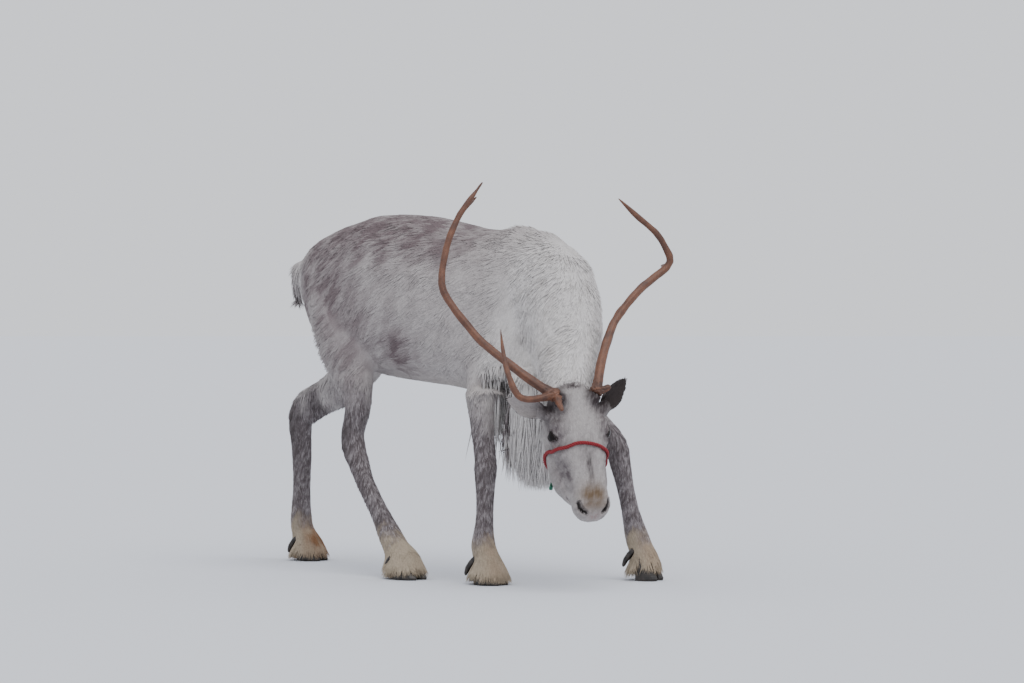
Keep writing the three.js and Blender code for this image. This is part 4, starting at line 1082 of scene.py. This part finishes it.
for side, parts in ANTLER_PARTS.items():
    nodes = [f"antler_{side}_{part}" for part in parts]
    antler = copy_of(nodes, f"antler_{side}")
    apply_modifier(antler, "REMESH", mode="VOXEL", voxel_size=ANTLER_GRAIN)
    places = coordinates(antler.data)
    relaxed = averaged(antler.data, places, 16)
    places = relaxed + normals(antler.data) * SHRINK_BACK
    along, angle = round_lines(in_head(places), ANTLER_LINES[side])
    burr = np.array(ANTLER_LINES[side][0][0]) / 1000.0
    from_foot = np.linalg.norm(in_head(places) - burr, axis=1)
    drift = 2.2 * along / 0.10
    grooves = np.cos(5 * angle + drift) + 0.7 * np.cos(8 * angle - 1.6 * drift + 1.0)
    grooves = grooves + 0.5 * np.cos(13 * angle + drift)
    grooves = averaged(antler.data, grooves[:, None], 3)[:, 0]
    grooves = grooves * smooth_step(-from_foot, -0.62, -0.30)
    pearls = np.exp(-((from_foot / 0.036) ** 2)) * (0.0020 * ripple(places, 0.008, 53) + 0.0010)
    relief = GROOVE_DEPTH * 0.5 * grooves + pearls + 0.0007 * ripple(places, 0.06, 52)
    places = places + normals(antler.data) * relief[:, None]
    set_coordinates(antler.data, places)
    tip = smooth_step(from_foot, 0.50, 0.70)[:, None]
    rough = np.exp(-((from_foot / 0.070) ** 2))[:, None]
    streaks = 0.5 - 0.22 * grooves + 0.30 * ripple(places, 0.030, 54)
    streaks = streaks + 0.25 * ripple(places, 0.10, 55)
    streaks = streaks.clip(0, 1)[:, None]
    colour = ANTLER_RED + (ANTLER_DARK - ANTLER_RED) * (0.55 * streaks)
    colour = colour + (ANTLER_PALE - colour) * (0.35 * (1.0 - streaks) * (1.0 - rough))
    darker = (ANTLER_DARK - colour) * (rough * streaks * 0.8)
    colour = colour + darker + (ANTLER_PALE - colour) * (rough * (1 - streaks) * 0.3)
    colour = colour + (ANTLER_RED * 0.75 - colour) * tip * 0.5
    paint(antler.data, colour.clip(0, 1))
    shade_smooth(antler.data)
    antler.data.materials.append(bone)
    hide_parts(*nodes)
    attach(antler, "root")

# Hooves and dewclaws
# Dark horn over the toes, worn smooth at the rim and ringed across by its growth.
HORN_BLACK = linear("#1e1a18")
HORN_GREY = linear("#4a423c")
HORN_GRAIN = 0.0016
GROWTH_RING = 0.006
RING_HEIGHT = 0.00022

horn = grained_material("hoof_horn", 0.003, 3.0, None, (0.3, 0.0006), {"Roughness": 0.38})

for leg in LEGS:
    for side in ("inner", "outer"):
        for part in ("hoof", "dewclaw"):
            node = f"{part}_{leg}_{side}"
            claw = copy_of([node], f"{part}_horn_{leg}_{side}")
            apply_modifier(claw, "REMESH", mode="VOXEL", voxel_size=HORN_GRAIN)
            places = coordinates(claw.data)
            floor_level = places[:, 2].min()
            smoothed = averaged(claw.data, places, 6)
            sole = 1.0 - smooth_step(places[:, 2], floor_level + 0.001, floor_level + 0.006)
            if part == "hoof":
                smoothed[:, 2] = smoothed[:, 2] + (places[:, 2] - smoothed[:, 2]) * sole
            ring = np.sin(2 * math.pi * smoothed[:, 2] / GROWTH_RING)
            ring = ring + 0.6 * ripple(smoothed, 0.012, 61)
            smoothed += normals(claw.data) * (RING_HEIGHT * ring * (1.0 - sole))[:, None]
            smoothed[:, 2] = smoothed[:, 2].clip(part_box(node)[0][2], None)
            set_coordinates(claw.data, smoothed)
            worn = (0.4 + 0.4 * ripple(smoothed, 0.02, 62)).clip(0, 1)[:, None] * 0.5
            paint(claw.data, HORN_BLACK + (HORN_GREY - HORN_BLACK) * worn)
            shade_smooth(claw.data)
            claw.data.materials.append(horn)
            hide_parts(node)
            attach(claw, "root")

# Halter
# A thin three-strand rope laid round the muzzle, dyed red, with a short green tie knotted to it
# under the jaw. The strands are twisted nylon, slightly shiny, and worn fuzzy.
ROPE_RED = linear("#86141f")
ROPE_GREEN = linear("#1c6b52")
STRAND = 0.0028
ROPE_LAY = 0.020
ROPE_SIDES = 7
ROPE_STEP = 0.0016
ROPE_LIFT = 0.0056
ROPE_EASING = 90


def hoop_centres(node, width):
    """The centres of the hoops of points that make up a round tube's solid, in the head's frame."""
    rest = in_head(coordinates(frame["nodes"][node].data))
    centres = []
    while len(rest):
        near = np.linalg.norm(rest - rest[0], axis=1) < width
        centres.append(rest[near].mean(0))
        rest = rest[~near]
    return np.array(centres)


def rope_mesh(name, line, closed, strand, lay, colour):
    """A rope of three twisted strands along a line of places."""
    steps = len(line)
    ahead = np.roll(line, -1, 0) - np.roll(line, 1, 0)
    if not closed:
        ahead[0], ahead[-1] = line[1] - line[0], line[-1] - line[-2]
    ahead = unit(ahead)
    gap = np.linalg.norm(np.diff(line, axis=0), axis=1)
    distance = np.concatenate([[0.0], np.cumsum(gap)])
    total = distance[-1] + (np.linalg.norm(line[0] - line[-1]) if closed else 0.0)
    turns = max(1, round(total / lay))
    out = unit(line - line.mean(0))
    out = square_to(out, ahead)
    beside = np.cross(ahead, out)
    sides = ROPE_SIDES
    points = []
    faces = []
    for k in range(3):
        angle = 2 * math.pi * (turns * distance / total + k / 3)
        from_middle = out * np.cos(angle)[:, None] + beside * np.sin(angle)[:, None]
        centre = line + from_middle * strand * 0.95
        base = len(points)
        for i in range(steps):
            for j in range(sides):
                turn = 2 * math.pi * j / sides
                spoke = out[i] * math.cos(turn) + beside[i] * math.sin(turn)
                points.append(centre[i] + spoke * strand)
        spans = steps if closed else steps - 1
        for i in range(spans):
            for j in range(sides):
                low, high = base + i * sides, base + ((i + 1) % steps) * sides
                faces.append((low + j, low + (j + 1) % sides, high + (j + 1) % sides, high + j))
        if not closed:
            faces.append(tuple(base + j for j in reversed(range(sides))))
            faces.append(tuple(base + (steps - 1) * sides + j for j in range(sides)))
    mesh = bpy.data.meshes.new(name)
    mesh.from_pydata([tuple(p) for p in points], [], faces)
    mesh.update()
    piece = placed(name, mesh)
    select_only(piece)
    bpy.ops.object.mode_set(mode="EDIT")
    bpy.ops.mesh.select_all(action="SELECT")
    bpy.ops.mesh.normals_make_consistent(inside=False)
    bpy.ops.object.mode_set(mode="OBJECT")
    shade_smooth(mesh)
    paint(mesh, np.tile(colour, (len(mesh.vertices), 1)))
    return piece


def smooth_line(corners, closed, spacing):
    """Evenly spaced places on a smooth curve through the corners."""
    corners = np.asarray(corners)
    count = len(corners)
    spans = count if closed else count - 1
    fine = []
    for i in range(spans):
        picks = [i + k for k in (-1, 0, 1, 2)]
        picks = [k % count if closed else min(max(k, 0), count - 1) for k in picks]
        p0, p1, p2, p3 = corners[picks]
        for t in np.linspace(0, 1, 12, endpoint=False):
            fine.append(0.5 * (2 * p1 + (p2 - p0) * t + (2 * p0 - 5 * p1 + 4 * p2 - p3) * t * t
                               + (3 * p1 - p0 - 3 * p2 + p3) * t ** 3))
    fine = np.array(fine + ([fine[0]] if closed else [corners[-1]]))
    gap = np.concatenate([[0.0], np.cumsum(np.linalg.norm(np.diff(fine, axis=0), axis=1))])
    steps = max(4, round(gap[-1] / spacing))
    places = np.linspace(0.0, gap[-1], steps + 1)[: steps if closed else steps + 1]
    return np.column_stack([np.interp(places, gap, fine[:, k]) for k in range(3)])


hide_surface = BVHTree.FromPolygons(
    [tuple(place) for place in coordinates(skin.data)],
    [tuple(face.vertices) for face in skin.data.polygons],
)


def laid_on_hide(line, lift):
    """The line pressed onto the hide, with its middle a little above it."""
    pressed = []
    below_eye = np.exp(-(((line[:, 1] + 0.070) / 0.032) ** 2)) * (line[:, 2] > -0.080)
    line = line + np.outer(0.018 * below_eye, [1.0, 0.0, 0.0])
    for place in from_head(line):
        nearest, facing = hide_surface.find_nearest(Vector(place))[:2]
        pressed.append(np.array(nearest) + np.array(facing) * lift)
    pressed = np.array(pressed)
    for _ in range(ROPE_EASING):
        pressed = (np.roll(pressed, 1, 0) + 2 * pressed + np.roll(pressed, -1, 0)) / 4
    return pressed


rope = grained_material(
    "laid_nylon_rope", 0.0012, 2.0, (0.75, 1.15), (0.5, 0.0005), {"Roughness": 0.6}
)

TUBE_WIDTH = 0.0115
loop = hoop_centres("halter_noseband", TUBE_WIDTH)
loop = loop[np.argsort(np.arctan2(loop[:, 2] + 0.085, loop[:, 1]))]
loop = laid_on_hide(smooth_line(loop, True, ROPE_STEP), ROPE_LIFT)
noseband = rope_mesh("noseband_rope", loop, True, STRAND, ROPE_LAY, ROPE_RED)
tie_line = hoop_centres("halter_tie", TUBE_WIDTH)
tie_line = tie_line[np.argsort(tie_line[:, 0])]
tie_line = from_head(smooth_line(tie_line, False, ROPE_STEP))
tie = rope_mesh("tie_rope", tie_line, False, STRAND, ROPE_LAY, ROPE_GREEN)
for piece, node, slot in (
    (noseband, "halter_noseband", "red_rope"),
    (tie, "halter_tie", "green_rope"),
):
    piece.data.materials.append(rope)
    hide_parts(node)
    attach(piece, "root")

# The flesh nodes all give way to the one skin, and the mane's solid to its hair
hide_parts(*FLESH)
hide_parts("throat_mane")

# Floor and light
# A plain pale studio floor under a broad, soft light. The floor's share of light given back and
# the lamp's strength are matched, so that the far floor runs into the background with no line.
FLOOR_SHARE = 0.72
SKY_LIGHT = 1.05
SKY_TINT = np.array([0.965, 0.99, 1.05])
LAMP_HEIGHT_ANGLE = 58.0
LAMP_TURN = 62.0
LAMP_BREADTH = 50.0
FLOOR_RADIUS = 900.0
bpy.ops.object.select_all(action="DESELECT")
bpy.ops.mesh.primitive_circle_add(vertices=128, radius=FLOOR_RADIUS, fill_type="NGON")
floor = bpy.context.active_object
floor.name = "floor"
paper = Shader("studio_paper")
floor_tint = (*(FLOOR_SHARE * SKY_TINT), 1.0)
paper.read(paper.surface, {"Base Color": floor_tint, "Roughness": 1.0, "Specular IOR Level": 0.0})
floor.data.materials.append(paper.material)

world = bpy.data.worlds.new("studio")
bpy.context.scene.world = world
world.use_nodes = True
background = world.node_tree.nodes["Background"]
background.inputs["Color"].default_value = (*SKY_TINT, 1.0)
background.inputs["Strength"].default_value = SKY_LIGHT

lamp = bpy.data.lights.new("overcast_lamp", "SUN")
lamp.angle = math.radians(LAMP_BREADTH)
lamp_slope = math.sin(math.radians(LAMP_HEIGHT_ANGLE))
lamp.energy = math.pi * SKY_LIGHT * (1.0 / FLOOR_SHARE - 1.0) / lamp_slope
light = bpy.data.objects.new("overcast_lamp", lamp)
light.rotation_euler = (math.radians(90.0 - LAMP_HEIGHT_ANGLE), 0.0, math.radians(LAMP_TURN))
light.location = (2.0, -3.0, 4.0)
bpy.context.scene.collection.objects.link(light)
